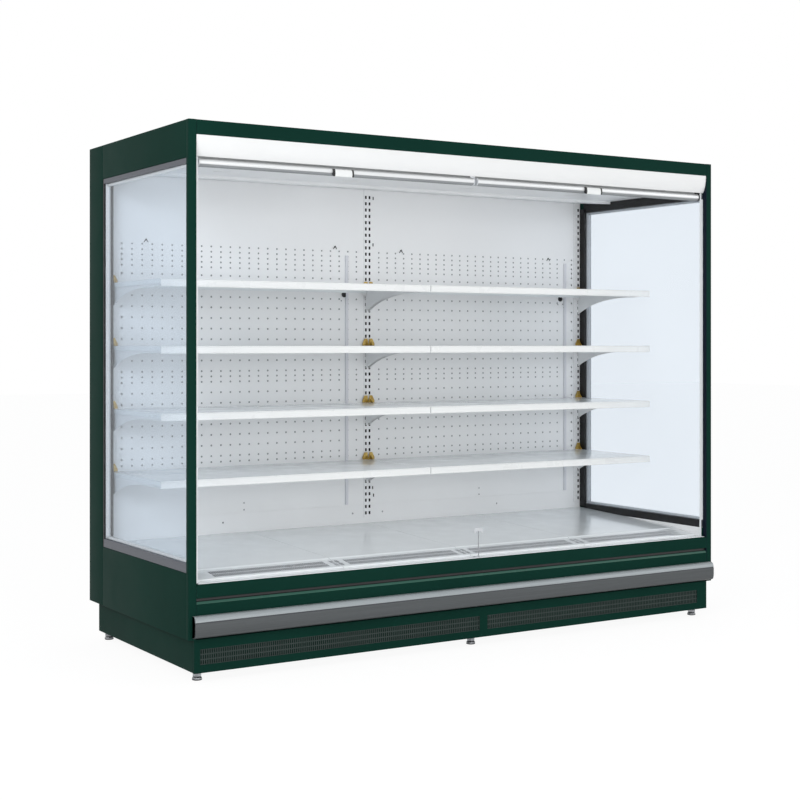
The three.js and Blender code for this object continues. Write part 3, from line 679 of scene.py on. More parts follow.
def end_walls():
    for hand, side in HANDS.items():
        def mirrored(section):
            return section if side > 0 else flip(section)

        z0, z1 = corners(f"corner_post_{hand}")[4:]
        post = Piece(f"corner_post_{hand}", GREEN, NAVY, GLOSS_WHITE)
        inner, back = END - POST, FRONT + 23
        section = rounded([(inner, FRONT, 1.5), (END, FRONT, 4), (END, back, 1), (inner, back, 1)], 1)
        post.prism(mirrored(section), z0, z1, "z")
        post.paint(1, lambda c: abs(c.x) < inner + 1)
        trim = rectangle(TRIM_END, inner, -468.5, -464)
        post.prism(mirrored(trim), SILL_TOP + 1, CANOPY_LIP[1] - 1, "z", 2)
        post.build(replaces=post.name, sharp=50)

        for panel in ("header_side_panel", "lower_side_panel", "rear_side_panel"):
            node = f"{panel}_{hand}"
            _, _, y0, y1, z0, z1 = corners(node)
            piece = Piece(node, GREEN, BLACK_GASKET_AND_SHADE, WHITE)
            section = rounded([(BAY, y0), (END, y0, 2.5), (END, y1, 2.5), (BAY, y1)], 0)
            piece.prism(mirrored(section), z0, z1, "z")
            if panel != "rear_side_panel":
                inner = 1 if panel == "header_side_panel" else 2
                piece.paint(inner, lambda c: abs(c.x) < BAY + 1)
            piece.build(replaces=node, bevel=0.8)
        glazing(hand, side)


def glazing(hand, side):
    """The end glass: two panes with a spacer round them, dark rails and a gasket at the rear."""
    x0, x1, y0, y1, z0, z1 = corners(f"side_glass_{hand}")
    middle = (x0 + x1) / 2
    pane = 4
    glass = Piece(f"side_glass_{hand}", GLASS, ALUMINIUM, WHITE, SOFT_GREY)
    for x in (x0, x1 - pane):
        glass.box(x, x + pane, y0 + 0.5, y1 - 0.5, z0 + 0.5, z1 - 0.5)
    spacer = (x0 + pane, x1 - pane)
    glass.box(*spacer, y1 - 10, y1 - 1, z0 + 1, z1 - 1, look=2)
    glass.box(middle - 2, middle + 2, y1 - 17, y1 - 14, z0 + 11, z1 - 11, look=3)
    glass.box(*spacer, y0 + 1, y0 + 11, z0 + 1, z1 - 1, look=1)
    glass.box(*spacer, y0 + 11, y1 - 10, z0 + 1, z0 + 11, look=1)
    glass.box(*spacer, y0 + 11, y1 - 10, z1 - 11, z1 - 1, look=1)
    glass.build(replaces=f"side_glass_{hand}")

    node = f"glass_frame_{hand}"
    _, _, fy0, _, fz0, fz1 = corners(node)
    rails = Piece(node, RAIL_GREY, BLACK_GASKET_AND_SHADE, WHITE)
    rear = 371.7
    outer = 1288

    def bar(section, low, high, look=0):
        rails.prism(section if side > 0 else flip(section), low, high, "y", look)

    for low, high in ((fz0, 436), (1896, fz1)):
        bar(rounded([(BAY, low), (outer, low, 1), (outer, high, 1.5), (BAY, high)], 0), fy0, rear - 12)
    seal = rounded([(1247, 420), (BAY - 0.3, 420), (BAY - 0.3, fz1), (1247, fz1)], 0.5)
    bar(seal, rear - 12, 399, 1)
    for low, high in ((BAY, 1259.9), (1280.1, outer)):
        bar(rounded(rectangle(low, high, fz0, fz1), 0.8), rear - 12, rear, 1)
    bar(rectangle(1259.9, 1280.1, fz0, 436), rear - 12, rear, 1)
    bar(rectangle(1259.9, 1280.1, 1896, fz1), rear - 12, rear, 1)
    bar(rectangle(1260.2, 1279.8, 436, 1896), rear - 11.5, rear - 1, 2)
    rails.paint(1, lambda c: abs(c.x) < BAY + 0.5)
    rails.build(replaces=node)


# Header, canopy and ceiling

CANOPY_TOP = (FRONT + 2.5, 2000.7)
CANOPY_LIP = (-470.5, 1924)
CANOPY_END = 1248


def header():
    x0, x1, y0, y1, z0, z1 = corners("header_fascia")
    fascia = Piece("header_fascia", GREEN)
    section = folded([(y1, z1), (y0, z1), (y0, z0), (y1, z0)], radius=3)
    fascia.prism(section, x0, x1)
    fascia.build(replaces="header_fascia")

    x0, x1 = corners("canopy_liner")[:2]
    liner = Piece("canopy_liner", CANOPY_WHITE, ZINC)
    ty = CANOPY_TOP[0]
    liner.prism(folded(swept(CANOPY_TOP, (ty, 1950), CANOPY_LIP, 18), radius=1), x0, x1)
    rolls = (-421.9, 1968)
    cheek = rounded([
        (rolls[0] + 10, rolls[1] - 10), (rolls[0] + 10, rolls[1] + 10), (rolls[0] - 10, rolls[1] + 28),
        (ty + 2, rolls[1] + 28), (ty + 2, rolls[1] + 10), (rolls[0] - 10, rolls[1] - 10),
    ], 3)
    for x in (-CANOPY_END, 0, CANOPY_END):
        liner.prism(cheek, x - 1.4, x + 1.4, look=1)
    liner.build(replaces="canopy_liner")


def ceiling():
    x0, x1 = corners("ceiling_panel")[:2]
    panel = Piece("ceiling_panel", WHITE, SHADOW)
    y, z = CEILING_STEP
    panel.prism(folded([(y, CEILING), (y, z), (BACK - 1, CEILING_REAR)], radius=3), x0, x1)
    vents = [edge for start in (-950, -350, 250, 850) for edge in spread(6, start, start + 78, 5)]
    flat, faces = slotted(x0, x1, -334, y, vents, [(18, 42)])
    panel.plate(flat, faces, CEILING, CEILING + 1.5, "z")
    panel.prism(folded([(-334, CEILING), (-336, CEILING), (-336, CEILING + 14)], radius=1), x0, x1)
    panel.build(replaces="ceiling_panel")


def honeycomb():
    """The air outlet: hexagonal cells between two rails."""
    x0, x1, y0, y1, z0, z1 = corners("outlet_honeycomb")
    outlet = Piece("outlet_honeycomb", PLASTIC, ALUMINIUM)
    for low, high in ((y0, y0 + 5), (y1 - 5, y1)):
        outlet.box(x0, x1, low, high, z0, z1, look=1)
    for low, high in ((x0, x0 + 5), (x1 - 5, x1)):
        outlet.box(low, high, y0 + 5, y1 - 5, z0, z1, look=1)
    across = y1 - y0 - 10
    rows = 5
    side = across / (1.5 * rows + 0.5)
    width = side * math.sqrt(3)
    count = int((x1 - x0 - 12) / width - 0.5)
    start = -(count - 0.5) * width / 2
    points, faces, index = [], [], {}

    def at(x, y):
        key = (round(x, 1), round(y, 1))
        if key not in index:
            index[key] = len(points)
            points.append((x, y))
        return index[key]

    for row in range(rows):
        cy = y0 + 5 + side + 1.5 * side * row
        for k in range(count):
            cx = start + width * (k + 0.5 * (row % 2))
            outer = [at(*p) for p in arc(cx, cy, side, 30, 330, 5)]
            inner = [at(*p) for p in arc(cx, cy, side - 0.9, 30, 330, 5)]
            for a in range(6):
                b = (a + 1) % 6
                faces.append([outer[a], outer[b], inner[b], inner[a]])
    outlet.plate(points, faces, z0 + 2, z1 - 1, "z")
    outlet.build(replaces="outlet_honeycomb")


def light_bar():
    x0, x1, y0, y1, z0, z1 = corners("light_bar")
    lamp = Piece("light_bar", LAMP, ALUMINIUM)
    cover = [(y1 - 1, z0 + 3), (y1 - 1, z0 + 8), (y0 + 4, z0 + 8), *arc(y0 + 7, z0 + 7, 6, 170, 250, 4)]
    lamp.prism([*cover, (y1 - 10, z0 + 0.5)], x0 + 6, x1 - 6)
    lamp.prism(rounded(rectangle(y0 + 2, y1, z0 + 8.2, z1), 1), x0 + 2, x1 - 2, look=1)
    for low, high in ((x0, x0 + 5.5), (x1 - 5.5, x1)):
        lamp.prism(rounded(rectangle(y0 + 1, y1, z0, z1), 3), low, high, look=1)
    lamp.build(replaces="light_bar")


# Front

def front():
    x0, x1, y0, y1, z0, z1 = corners("sill_cap")
    sill = Piece("sill_cap", GLOSS_WHITE)
    sill.prism(folded([(y1, z0), (y1, z1), (y0, z1)], radius=3), x0, x1)
    sill.build(replaces="sill_cap")

    x0, x1, y0, y1, z0, z1 = corners("front_panel")
    panel = Piece("front_panel", GREEN, BLACK_GASKET_AND_SHADE, GREEN_PAINTED_HIGHLIGHT)
    line = [
        (y1 - 2, z1), (FRONT + 6, z1), (FRONT, z1 - 8), (FRONT, 310), (FRONT + 10, 310), (FRONT + 10, 300),
        (FRONT + 5, 298), (FRONT + 1, 290), (FRONT + 1, 166), (FRONT + 20, 161),
    ]
    panel.prism(folded(line, radius=3.5, steps=5), x0, x1)
    # painted shade: the faces inside the groove under the nose are black, for the shade in the recess
    panel.paint(1, lambda c: c.y > FRONT + 3.5 and 298 < c.z < 313)
    # painted highlight: the slanted top of the lower band, which faces the light, gets the lighter green
    panel.paint(2, lambda c: c.y < FRONT + 6 and 289 < c.z < 298.5)
    panel.build(replaces="front_panel")
    bumper()


BUMPER_CORNER = 28  # radius of its ends, seen from above


def bumper():
    """The bumper's face rolls back at the top and bottom, and its ends are rounded into the corner."""
    x0, x1, y0, y1, z0, z1 = corners("bumper_rail")
    line = rounded([
        (y1, z0, 0), (y0 + 16, z0, 0), (y0 + 4, z0 + 5, 6), (y0, z0 + 22, 14), (y0, z1 - 25, 2),
        (y0 + 3, z1 - 22.5, 0.5), (y0 + 0.8, z1 - 20, 2), (y0 + 4, z1 - 7, 6), (y0 + 13, z1, 3), (y1, z1, 0),
    ], 2, 4)
    rail = Piece("bumper_rail", BUMPER, BUMPER_DARK, BUMPER_PAINTED_HIGHLIGHT)
    turns = [math.radians(a) for a in range(0, 91, 15)]
    rings = [(x0 + BUMPER_CORNER * (1 - math.sin(a)), math.cos(a)) for a in turns]
    rings += [(x1 - BUMPER_CORNER * (1 - math.sin(a)), math.cos(a)) for a in reversed(turns)]
    points, faces = [], []
    middle = (z0 + z1) / 2
    for x, back in rings:
        inset = BUMPER_CORNER * back
        for y, z in line:
            share = max(0.0, (y1 - y) / (y1 - y0))
            flatter = 1 - 0.06 * back
            points.append((x, min(y1, y + inset * share), middle + (z - middle) * flatter))
    count = len(line)
    for r in range(len(rings) - 1):
        for k in range(count):
            a, b = r * count + k, r * count + (k + 1) % count
            faces.append((a, b, b + count, a + count))
    last = len(points) - count
    faces += [tuple(range(count)), tuple(range(last, last + count))]
    rail.add(points, faces)
    # painted highlight: the top of the bumper, which tilts up to the light, gets the paler grey
    rail.paint(2, lambda c: c.z > z1 - 20.6)
    rail.paint(1, lambda c: z1 - 25.5 < c.z < z1 - 20.6 and c.y < y0 + 4)
    rail.build(replaces="bumper_rail", sharp=50)


def catch_post():
    _, _, y0, _, z0, z1 = corners("catch_post")
    post = Piece("catch_post", SOFT_GREY, ZINC)
    y = y0 + 1.5
    post.tube([(0, y, z0 + 2), (0, y, z1 - 12)], 2.2, look=1)
    head = rounded([
        (-22, z1 - 22), (-14, z1 - 22), (-14, z1 - 13), (14, z1 - 13), (14, z1 - 22), (22, z1 - 22),
        (22, z1 - 1), (-22, z1 - 1),
    ], 3)
    post.prism(head, y0 + 0.3, y0 + 2.7, "y")
    post.box(-18, 18, y0, y0 + 24, z0, z0 + 2.5)
    for x in (-11, 11):
        post.lathe([(0, 2), (3, 1.6), (4, 0), (0, 0)], (x, y0 + 16, z0 + 2.5), look=1)
    post.build(replaces="catch_post", bevel=0.3)


# Decks and back wall

DECK_BEND = -308
RETURN_Y = (-409, -331)  # the return air grille
RETURN_X = [(-1147, -650), (-560, -40), (40, 560), (650, 1147)]
JOINT_SLOTS = (2, 20)  # a short run of slots beside each joint, from the joint


def decks():
    for number, (g0, g1) in enumerate(RETURN_X, 1):
        node = f"deck_pan_{number}"
        x0, x1, y0, y1, z0, _ = corners(node)
        pan = Piece(node, GLOSS_WHITE, SOFT_GREY)
        surface = [(y1, 415), (DECK_BEND, 387), (-316, 382.5)]
        pan.prism(folded([(y1, 399), *surface, (RETURN_Y[1], 380.6)], radius=3), x0, x1)
        slope = (382 - 367) / (-316 + 424.7)

        def height(y):
            return 367 + (y + 424.7) * slope

        lip = [(RETURN_Y[0], height(RETURN_Y[0])), (y0, height(y0)), (y0, z0)]
        pan.prism(folded(lip, radius=2), x0, x1)
        low, high = JOINT_SLOTS
        grilles = [(g0, g1)]
        if number > 1:
            grilles.insert(0, (x0 + low, x0 + high))
        if number < 4:
            grilles.append((x1 - high, x1 - low))
        start = len(pan.points)
        edges = [x0, *(edge for grille in grilles for edge in grille), x1]
        for a, b in zip(edges[::2], edges[1::2]):
            pan.box(a, b, *RETURN_Y, -1.5, 0)
        rows = spread(2, RETURN_Y[0] + 2, RETURN_Y[1] - 2, 31)
        for a, b in grilles:
            columns = spread(max(2, round((b - a) / 8.6)), a + 1, b - 1, 5)
            flat, faces = slotted(a, b, *RETURN_Y, columns, rows)
            pan.plate(flat, faces, -1.5, 0, "z", look=1)
        for i in range(start, len(pan.points)):
            x, y, z = pan.points[i]
            pan.points[i] = (x, y, z + height(y))
        skirt = [
            (y0 + 0.5, height(y0) - 2), (-316, 380), (DECK_BEND, 385), (y1 - 1, 413), (y1 - 1, 400),
            (DECK_BEND, 372), (y0 + 0.5, 354),
        ]
        for x in (x0, x1 - 1.5):
            pan.prism(skirt, x, x + 1.5)
        pan.build(replaces=node)


HOLE_PITCH = 45.4
HOLE_RADIUS = 4.2
HOLE_COLUMNS = 26
HOLE_ROWS = sorted(
    [1658 - 22.5 * k for k in range(5)] + [1533 - 45.9 * k for k in range(18)] + [1097, 727, 681]
)
RACEWAY_TOP = 1640


def back_wall():
    for hand, side in HANDS.items():
        node = f"back_panel_{hand}"
        x0, x1, _, y1, z0, z1 = corners(node)
        face = y1 - 1.5
        near, far = sorted((abs(x0), abs(x1)))
        first = 60 - HOLE_PITCH / 2
        us = [near, *(first + HOLE_PITCH * k for k in range(HOLE_COLUMNS + 1)), far]
        rows = [z for z in HOLE_ROWS if z > z0 + 20]
        gap = 8
        vs = [z0]
        for z in rows:
            vs += [z - gap, z + gap]
        vs.append(z1)
        flat, faces = holed(us, vs, HOLE_RADIUS, lambda i, j: 0 < i <= HOLE_COLUMNS and j % 2 == 1)
        panel = Piece(node, WHITE, PAINTED_SHADE_GREY)
        # painted shade: the hole walls and a grey sheet just behind the panel make the perforations read as
        # grey dots
        panel.plate([(side * u, v) for u, v in flat], faces, face, y1, edge_look=1)
        hole_shade_sheet = sorted((side * (near + 20), side * (far - 20)))
        panel.box(*hole_shade_sheet, y1 + 0.1, y1 + 1.1, z0 + 2, 1680, look=1)
        panel.build(replaces=node)
        fittings(hand, side, face)
    x0, x1, y0, y1, z0, z1 = corners("lower_back_panel")
    lower = Piece("lower_back_panel", WHITE, ZINC)
    notch, side_in, low = 20.3, 1208.7, 439.7
    outline = [
        (x0, z0), (x1, z0), (x1, low), (side_in, low), (side_in, z1), (notch, z1), (notch, low),
        (-notch, low), (-notch, z1), (-side_in, z1), (-side_in, low), (x0, low),
    ]
    lower.prism(outline, y0, y1, "y")
    for x in (-731, -80, 80, 731):
        screw(lower, x, y0, 462, look=1)
    lower.build(replaces="lower_back_panel")


def fittings(hand, side, face):
    """The cable raceway, its socket, the screws and the small hooks of one bay's back panel."""
    raceway_x = {"left": -113, "right": 1150}[hand]
    hooks = {"left": [(-1087, 1675), (-173, 1677)], "right": [(181, 1671), (1046, 1660)]}[hand]
    socket_x = {"left": -126, "right": 1122}[hand]
    screws = {"left": [(-630, 542), (-630, 512)], "right": [(626, 542), (626, 512)]}[hand]
    fit = Piece(f"back_fittings_{hand}", RACEWAY, BLACK_PLASTIC, ZINC)
    cover = [(-8, face), (-6, 392, 2), (6, 392, 2), (8, face)]
    fit.prism(rounded([(raceway_x + a, *rest) for a, *rest in cover], 0), 505, RACEWAY_TOP, "z")
    lamp = [(0, -7), (11, -7), (12.5, -5), (12.5, 0), (0, 0)]
    fit.lathe(lamp, (socket_x, face, 1462), "y", 24, look=1)
    for dx, z in ((-14, 1434), (16, 1436), (22, 1420)):
        screw(fit, socket_x + dx, face, z, 3.2, look=2)
    for x, z in screws:
        screw(fit, x, face, z, 3.5, look=2)
    for x, z in hooks:
        fit.tube([(x - 9, face - 1.4, z - 9), (x, face - 3, z + 5), (x + 9, face - 1.4, z - 9)], 1.8, look=1)
        screw(fit, x, face, z + 1, 4, look=1)
    if side > 0:
        for x, z in ((29, 1908), (28, 1694), (31, 540), (26, 575)):
            fit.box(x - 2, x + 2, face - 3, face, z - 7, z + 7, look=1)
    fit.build(bevel=0.3)


def uprights():
    """Slotted channels: white outside, with painted shade on the inside, the slot walls and a sheet behind
    the slots, so that the slots read dark.
    """
    for place, columns in {"left": SLOT_X[:1], "middle": SLOT_X[1:3], "right": SLOT_X[3:]}.items():
        node = f"upright_{place}"
        x0, x1, y0, y1, z0, z1 = corners(node)
        post = Piece(node, WHITE, SHADOW)
        cols = [(c - SLOT_HALF, c + SLOT_HALF) for c in columns]
        middles = [SLOT_LOWEST + SLOT_PITCH * k for k in range(SLOT_COUNT)]
        rows = [(z - SLOT_RISE, z + SLOT_RISE) for z in middles]
        flat, faces = slotted(x0, x1, z0, z1, cols, rows)
        # painted shade on the slot walls and on the channel's inner faces
        post.plate(flat, faces, y0, y0 + 2, edge_look=1)
        for low, high in ((x0, x0 + 2), (x1 - 2, x1)):
            post.box(low, high, y0 + 2, y1, z0, z1)
        post.paint(1, lambda c: c.y > y0 + 1.9 and c.y < y1 - 1 and x0 + 1.9 < c.x < x1 - 1.9)
        # a dark sheet behind the slots: painted shade for the depth of the channel
        post.box(x0 + 2.2, x1 - 2.2, y0 + 26, y0 + 28, z0 + 1, z1 - 1, look=1)
        post.build(replaces=node)


# Shelves

def shelves():
    spans = {"left": (-1243.5, -1.5), "right": (1.5, 1243.5)}
    for bay, (hand, (x0, x1)) in enumerate(spans.items()):
        for tier, top in enumerate(TIERS, 1):
            shelf(f"shelf_{hand}_{tier}", x0, x1, SLOT_X[2 * bay:2 * bay + 2], top)


def shelf(node, x0, x1, bracket_xs, top):
    piece = Piece(node, GLOSS_WHITE, PLASTIC, YELLOW_ZINC, WHITE)
    front = SHELF_FRONT + 4
    pan = [(SHELF_REAR, top - 20), (SHELF_REAR, top), (front, top), (front, top - 27), (front + 12, top - 27)]
    piece.prism(folded(pan, 1.2, radius=3), x0, x1)
    for x in (x0, x1 - 1.2):
        piece.box(x, x + 1.2, front + 2, SHELF_REAR - 2, top - 20, top - 1)
    rib = [(140, top - 1), (140, top - 14), (164, top - 14), (164, top - 1)]
    piece.prism(folded(rib, 1.2), x0 + 14, x1 - 14)
    price_rail(piece, x0 + 1, x1 - 1, top)
    for x, inward in zip(bracket_xs, (1, -1)):
        bracket(piece, x, top, inward)
    piece.build(node, replaces=node)


def price_rail(piece, x0, x1, top):
    """A moulded label holder clipped over the shelf's front: a face with a bead along both edges."""
    y = SHELF_FRONT
    section = rounded([
        (y + 3.6, top + 0.2), (y + 1.2, top + 0.2), (y, top - 1.6), (y + 0.3, top - 4), (y + 1.8, top - 5.2),
        (y + 1.8, top - 24.5), (y, top - 26), (y, top - 29), (y + 1.6, top - 30), (y + 3.6, top - 30),
    ], 0.8, 3)
    piece.prism(section, x0, x1, look=1)
    for low, high in ((x0 - 0.8, x0), (x1, x1 + 0.8)):
        piece.prism(rounded(rectangle(y, y + 3.6, top - 30, top), 1), low, high, look=1)


BRACKET_SWEEP = [(-20, 29), (250, 22), (399.7, 104)]  # the curved lower edge: y, and drop below the shelf
# the plate across the hook: sideways towards the shelf's middle, and up from the shelf's top
HOOK_PLATE = [(-8, 0.3), (22, 0.3), (22, 10), (10, 33), (-4, 33), (-8, 10)]


def bracket(piece, x, top, inward):
    """A pressed bracket that sweeps down to the upright, its hook in one slot, and its lug in another."""
    lower = [(y, top - drop) for y, drop in swept(*BRACKET_SWEEP, 14)]
    face = 399.7
    lug = [(face, top - 48), (face + 5, top - 47.5), (face + 5, top - 38.5), (face, top - 38)]
    blade = [(-120, top - 1.4), (-120, top - 26), *lower, *lug, (face, top - 1.4)]
    piece.prism(blade, x - 1.5, x + 1.5, look=3)
    rest = top + 8.3
    hook = [
        (face, top + 0.3), (face, rest), (404, rest), (404, rest - 7.3), (407, rest - 7.3), (407, rest + 7.7),
        (384.7, rest + 7.7), (369.4, top + 0.3),
    ]
    piece.prism(hook, x - 1.5, x + 1.5, look=2)
    plate = rounded([(x + inward * a, top + b) for a, b in HOOK_PLATE], 2, 3)
    piece.prism(plate, 391.9, 394.7, "y", look=2)
    piece.box(*sorted((x - inward * 8, x + inward * 22)), 391.9, 394.7, top - 30, top, look=3)
    for z in (top + 8, top + 19):
        piece.lathe([(0, -1.6), (2.2, -1.3), (3, 0), (0, 0)], (x + inward * 6, 391.9, z), "y", 12, look=2)


# Night curtains

BAR_Y = (-468, -438)
BAR_Z = (1889, 1920)
ROLLER = (-421.9, 1968)
GRIP_X = {"left": -632, "right": 615}


def curtains():
    for hand, side in HANDS.items():
        pull_bar(hand, side)
        roller(hand, side)
        strip(hand)


def pull_bar(hand, side):
    node = f"curtain_bar_{hand}"
    x0, x1 = sorted((side * 6, side * 1240))
    (y0, y1), (z0, z1) = BAR_Y, BAR_Z
    bar = Piece(node, ALUMINIUM, BLACK_PLASTIC, PLASTIC, SOFT_GREY, PAINTED_SHADE_GREY)
    section = rounded([
        (y1, z1, 1), (y0 + 9, z1, 6), (y0, z1 - 10, 8), (y0, z0 + 11, 8), (y0 + 9, z0, 5), (y1, z0, 1),
    ], 2, 6)
    bar.prism(section, x0 + 4, x1 - 4)
    # painted shade: the lower part of the bar, whose underside turns away from the light, is grey
    bar.paint(4, lambda c: c.z < z0 + 9)
    cap = rounded([
        (y1, z1), (y0 + 4, z1), (y0 - 1, z1 - 12), (y0 - 1, z0 + 9), (y0 + 6, z0 - 1), (y1, z0 - 1),
    ], 4, 5)
    bar.prism(cap, x0, x0 + 4, look=3)
    bar.prism(cap, x1 - 4, x1, look=1 if side > 0 else 3)
    grip = GRIP_X[hand]
    handle = rounded([
        (y0 + 4, z1 - 6), (y0 - 6, z1 - 9, 3), (y0 - 9.5, z0 + 6, 5), (y0 - 7, z0 - 6, 2),
        (y0 - 2.5, z0 - 5, 2), (y0 - 4, z0 + 6, 4), (y0 + 4, z0 + 9),
    ], 1, 5)
    bar.prism(handle, grip - 38, grip + 38, look=2)
    for low, high in ((grip - 45, grip - 38), (grip + 38, grip + 45)):
        end = [(y0 + 4, z1 - 5), (y0 - 7, z1 - 8), (y0 - 10, z0 + 5), (y0 - 7, z0 - 6), (y0 + 4, z0 + 1)]
        bar.prism(rounded(end, 3), low, high, look=1)
    bar.build(node, replaces=node, sharp=40)


def roller(hand, side):
    """The rolled-up cloth on its tube, with a spiral edge, and the tube's end plugs."""
    node = f"curtain_roller_{hand}"
    x0, x1 = sorted((side * 12, side * 1234))
    s0, s1 = corners(node)[:2]
    roll = Piece(node, FABRIC, ZINC, BLACK_PLASTIC)
    steps = 32
    spiral = []
    for k in range(steps + 1):
        angle = 2 * math.pi * k / steps
        radius = 17.9 - 0.9 * k / steps
        spiral.append((ROLLER[0] + radius * math.cos(angle), ROLLER[1] + radius * math.sin(angle)))
    roll.prism(spiral, x0, x1)
    centre = (0, *ROLLER)
    roll.lathe([(0, x0 - 3), (12, x0 - 3), (12, x0 - 0.2), (0, x0 - 0.2)], centre, "x", 24, look=2)
    roll.lathe([(0, x1 + 0.2), (12, x1 + 0.2), (12, x1 + 3), (0, x1 + 3)], centre, "x", 24, look=2)
    roll.lathe([(0, s0), (4.9, s0), (4.9, x0 - 3.1), (0, x0 - 3.1)], centre, "x", 12, look=1)
    roll.lathe([(0, x1 + 3.1), (4.9, x1 + 3.1), (4.9, s1), (0, s1)], centre, "x", 12, look=1)
    roll.build(node, replaces=node)


def strip(hand):
    """The cloth between roller and pull bar, as a sheet made in rows."""
    node = f"curtain_strip_{hand}"
    x0, x1, y0, y1, z0, z1 = corners(node)
    piece = Piece(node, FABRIC)
    rows, columns = 24, 40
    thick = 0.7
    points, faces = [], []
    middle = (y0 + y1) / 2
    for face_y in (middle - thick / 2, middle + thick / 2):
        for j in range(rows + 1):
            z = z0 + 0.2 + (z1 - z0 - 0.2) * j / rows
            for i in range(columns + 1):
                points.append((x0 + (x1 - x0) * i / columns, face_y, z))
    wide = columns + 1
    sheet = wide * (rows + 1)
    for j in range(rows):
        for i in range(columns):
            a = j * wide + i
            faces.append((a, a + 1, a + 1 + wide, a + wide))
            faces.append((sheet + a, sheet + a + wide, sheet + a + 1 + wide, sheet + a + 1))
    rim = [*range(wide), *(j * wide + columns for j in range(1, rows + 1))]
    rim += [rows * wide + i for i in range(columns - 1, -1, -1)]
    rim += [j * wide for j in range(rows - 1, 0, -1)]
    for a, b in zip(rim, rim[1:] + rim[:1]):
        faces.append((a, b, sheet + b, sheet + a))
    piece.add(points, faces)
    thing = piece.build(parent=False, replaces=node)
    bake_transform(thing)


# Cooling

def cooling():
    x0, x1, y0, y1, z0, z1 = corners("evaporator_coil")
    coil = Piece("evaporator_coil", COIL_FINS, COPPER)
    for k in range(150):
        x = x0 + 6 + (x1 - x0 - 12) * k / 149
        coil.box(x - 0.3, x + 0.3, y0, y1, z0 + 2, z1)
    for y in range(int(y0) + 28, int(y1), 44):
        for z in (z0 + 30, z0 + 74):
            coil.lathe([(0, x0), (5, x0), (5, x1), (0, x1)], (0, y, z), "x", 10, look=1)
    coil.box(x0, x0 + 2, y0, y1, z0, z1)
    coil.box(x1 - 2, x1, y0, y1, z0, z1)
    coil.build(replaces="evaporator_coil")
    for hand, x in (("left", -625), ("right", 625)):
        rotor(hand, x)
    dress("fan_tray", ZINC)


def rotor(hand, x):
    """Five twisted blades on a hub."""
    node = f"fan_rotor_{hand}"
    _, _, y0, y1, _, _ = corners(node)
    fan = Piece(node, BLACK_PLASTIC)
    z = 292
    middle = (y0 + y1) / 2
    fan.lathe([(4.6, y0), (18, y0), (22, y0 + 4), (22, y1), (4.6, y1)], (x, 0, z), "y", 24)
    for blade in range(5):
        turn = 2 * math.pi * blade / 5
        points, faces = [], []
        steps = 8
        for k in range(steps + 1):
            radius = 20 + (66 - 20) * k / steps
            pitch = 0.75 - 0.35 * k / steps
            half = 13 + 4 * math.sin(math.pi * k / steps)
            for sign, off in ((-1, -0.8), (1, -0.8), (1, 0.8), (-1, 0.8)):
                along = sign * half
                across = along * math.cos(pitch)
                depth = along * math.sin(pitch) + off
                angle = turn + across / radius
                depth = max(y0 - middle, min(y1 - middle, depth))
                points.append((x + radius * math.cos(angle), middle + depth, z + radius * math.sin(angle)))
        for k in range(steps):
            for a in range(4):
                b = (a + 1) % 4
                faces.append((4 * k + a, 4 * k + b, 4 * k + 4 + b, 4 * k + 4 + a))
        faces += [(0, 1, 2, 3), (4 * steps, 4 * steps + 1, 4 * steps + 2, 4 * steps + 3)]
        fan.add(points, faces)
    fan.build(node, replaces=node, sharp=50)


def dress(node, material):
    """Gives a CAD node a finished material."""
    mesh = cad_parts[node].data
    mesh.materials.clear()
    mesh.materials.append(material)


# Stage

FLOOR_REACH = 30  # metres
FLOOR_GLOW_SHARE = 0.86  # the rest of the floor's look is its lit paint, which keeps the shadow


def seen_directly(tree):
    """1 for camera, glossy and transmission rays, and 0 for the rays that light the object."""
    path = tree.nodes.new("ShaderNodeLightPath")
    seen = path.outputs["Is Camera Ray"]
    for name in ("Is Glossy Ray", "Is Transmission Ray"):
        more = tree.nodes.new("ShaderNodeMath")
        more.operation = "MAXIMUM"
        tree.links.new(seen, more.inputs[0])
        tree.links.new(path.outputs[name], more.inputs[1])
        seen = more.outputs[0]
    return seen


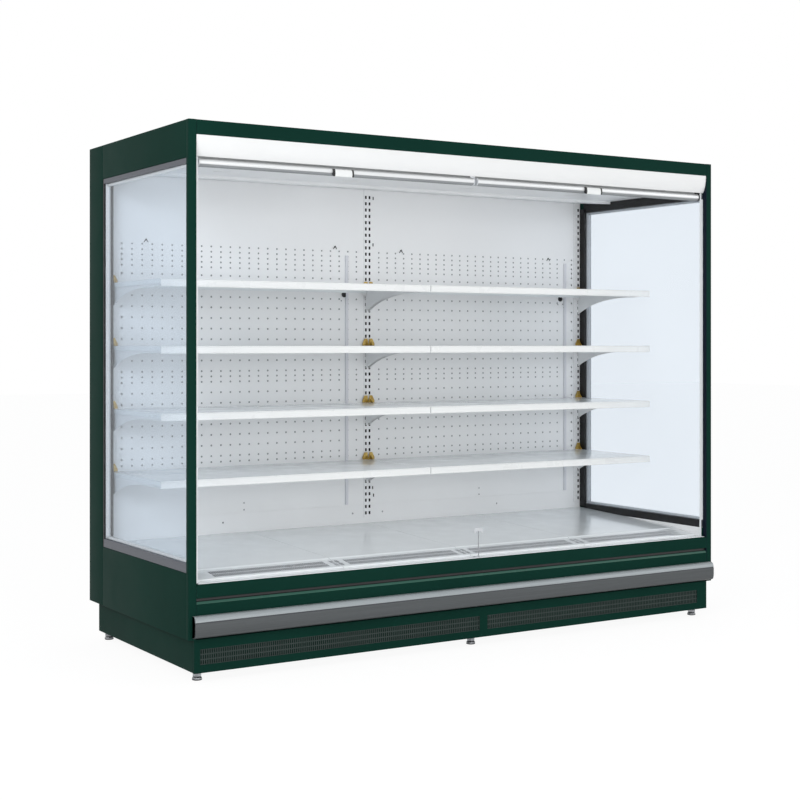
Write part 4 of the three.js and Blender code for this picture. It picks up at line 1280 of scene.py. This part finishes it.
def studio_floor():
    mesh = bpy.data.meshes.new("floor")
    square = [(x, y, 0) for x, y in rectangle(-FLOOR_REACH, FLOOR_REACH, -FLOOR_REACH, FLOOR_REACH)]
    mesh.from_pydata(square, [], [(0, 1, 2, 3)])
    floor = bpy.data.objects.new("floor", mesh)
    bpy.context.scene.collection.objects.link(floor)
    n = Nodes("studio_floor")
    n.set(Base_Color=linear(247, 247, 247), Roughness=0.9)
    glow = n.node("ShaderNodeEmission", Color=(1, 1, 1, 1), Strength=1.067)
    part = n.node("ShaderNodeMath", operation="MULTIPLY")
    part.inputs[1].default_value = FLOOR_GLOW_SHARE
    n.link(seen_directly(n.tree), part.inputs[0])
    both = n.node("ShaderNodeMixShader")
    n.link(part.outputs[0], both.inputs[0])
    n.link(n.shader.outputs[0], both.inputs[1])
    n.link(glow.outputs[0], both.inputs[2])
    n.link(both.outputs[0], n.output.inputs["Surface"])
    mesh.materials.append(n.material)


def studio_world():
    """White where it is seen, and weaker where it lights the object."""
    world = bpy.data.worlds.new("studio")
    bpy.context.scene.world = world
    world.use_nodes = True
    tree = world.node_tree
    plain = tree.nodes["Background"]
    plain.inputs["Color"].default_value = (0.97, 0.985, 1, 1)
    plain.inputs["Strength"].default_value = WORLD_LIGHT
    white = tree.nodes.new("ShaderNodeBackground")
    white.inputs["Color"].default_value = (1, 1, 1, 1)
    white.inputs["Strength"].default_value = 1.0
    both = tree.nodes.new("ShaderNodeMixShader")
    tree.links.new(seen_directly(tree), both.inputs[0])
    tree.links.new(plain.outputs[0], both.inputs[1])
    tree.links.new(white.outputs[0], both.inputs[2])
    tree.links.new(both.outputs[0], tree.nodes["World Output"].inputs["Surface"])


def stage():
    studio_floor()
    studio_world()
    bpy.context.scene.view_settings.view_transform = "Standard"
    for name, at, target, size, power in LAMPS:
        data = bpy.data.lights.new(name, "AREA")
        data.shape = "RECTANGLE"
        data.size, data.size_y = size
        data.energy = power
        lamp = bpy.data.objects.new(name, data)
        lamp.location = at
        lamp.rotation_euler = (Vector(target) - Vector(at)).to_track_quat("-Z", "Y").to_euler()
        bpy.context.scene.collection.objects.link(lamp)


WORLD_LIGHT = 0.49
LAMPS = [  # name, place, target, size in metres, watts
    ("key", (-5.0, -3.5, 3.0), (0, 0, 1.0), (3.0, 2.0), 120),
    ("front", (-0.5, -7.0, 1.3), (0, 0, 1.15), (5.0, 2.5), 112),
    ("fill", (4.5, -4.0, 2.2), (0, 0, 1.0), (2.5, 2.5), 32),
]


base()
feet()
carcass()
end_walls()
header()
ceiling()
honeycomb()
light_bar()
front()
catch_post()
decks()
back_wall()
uprights()
shelves()
curtains()
cooling()
stage()
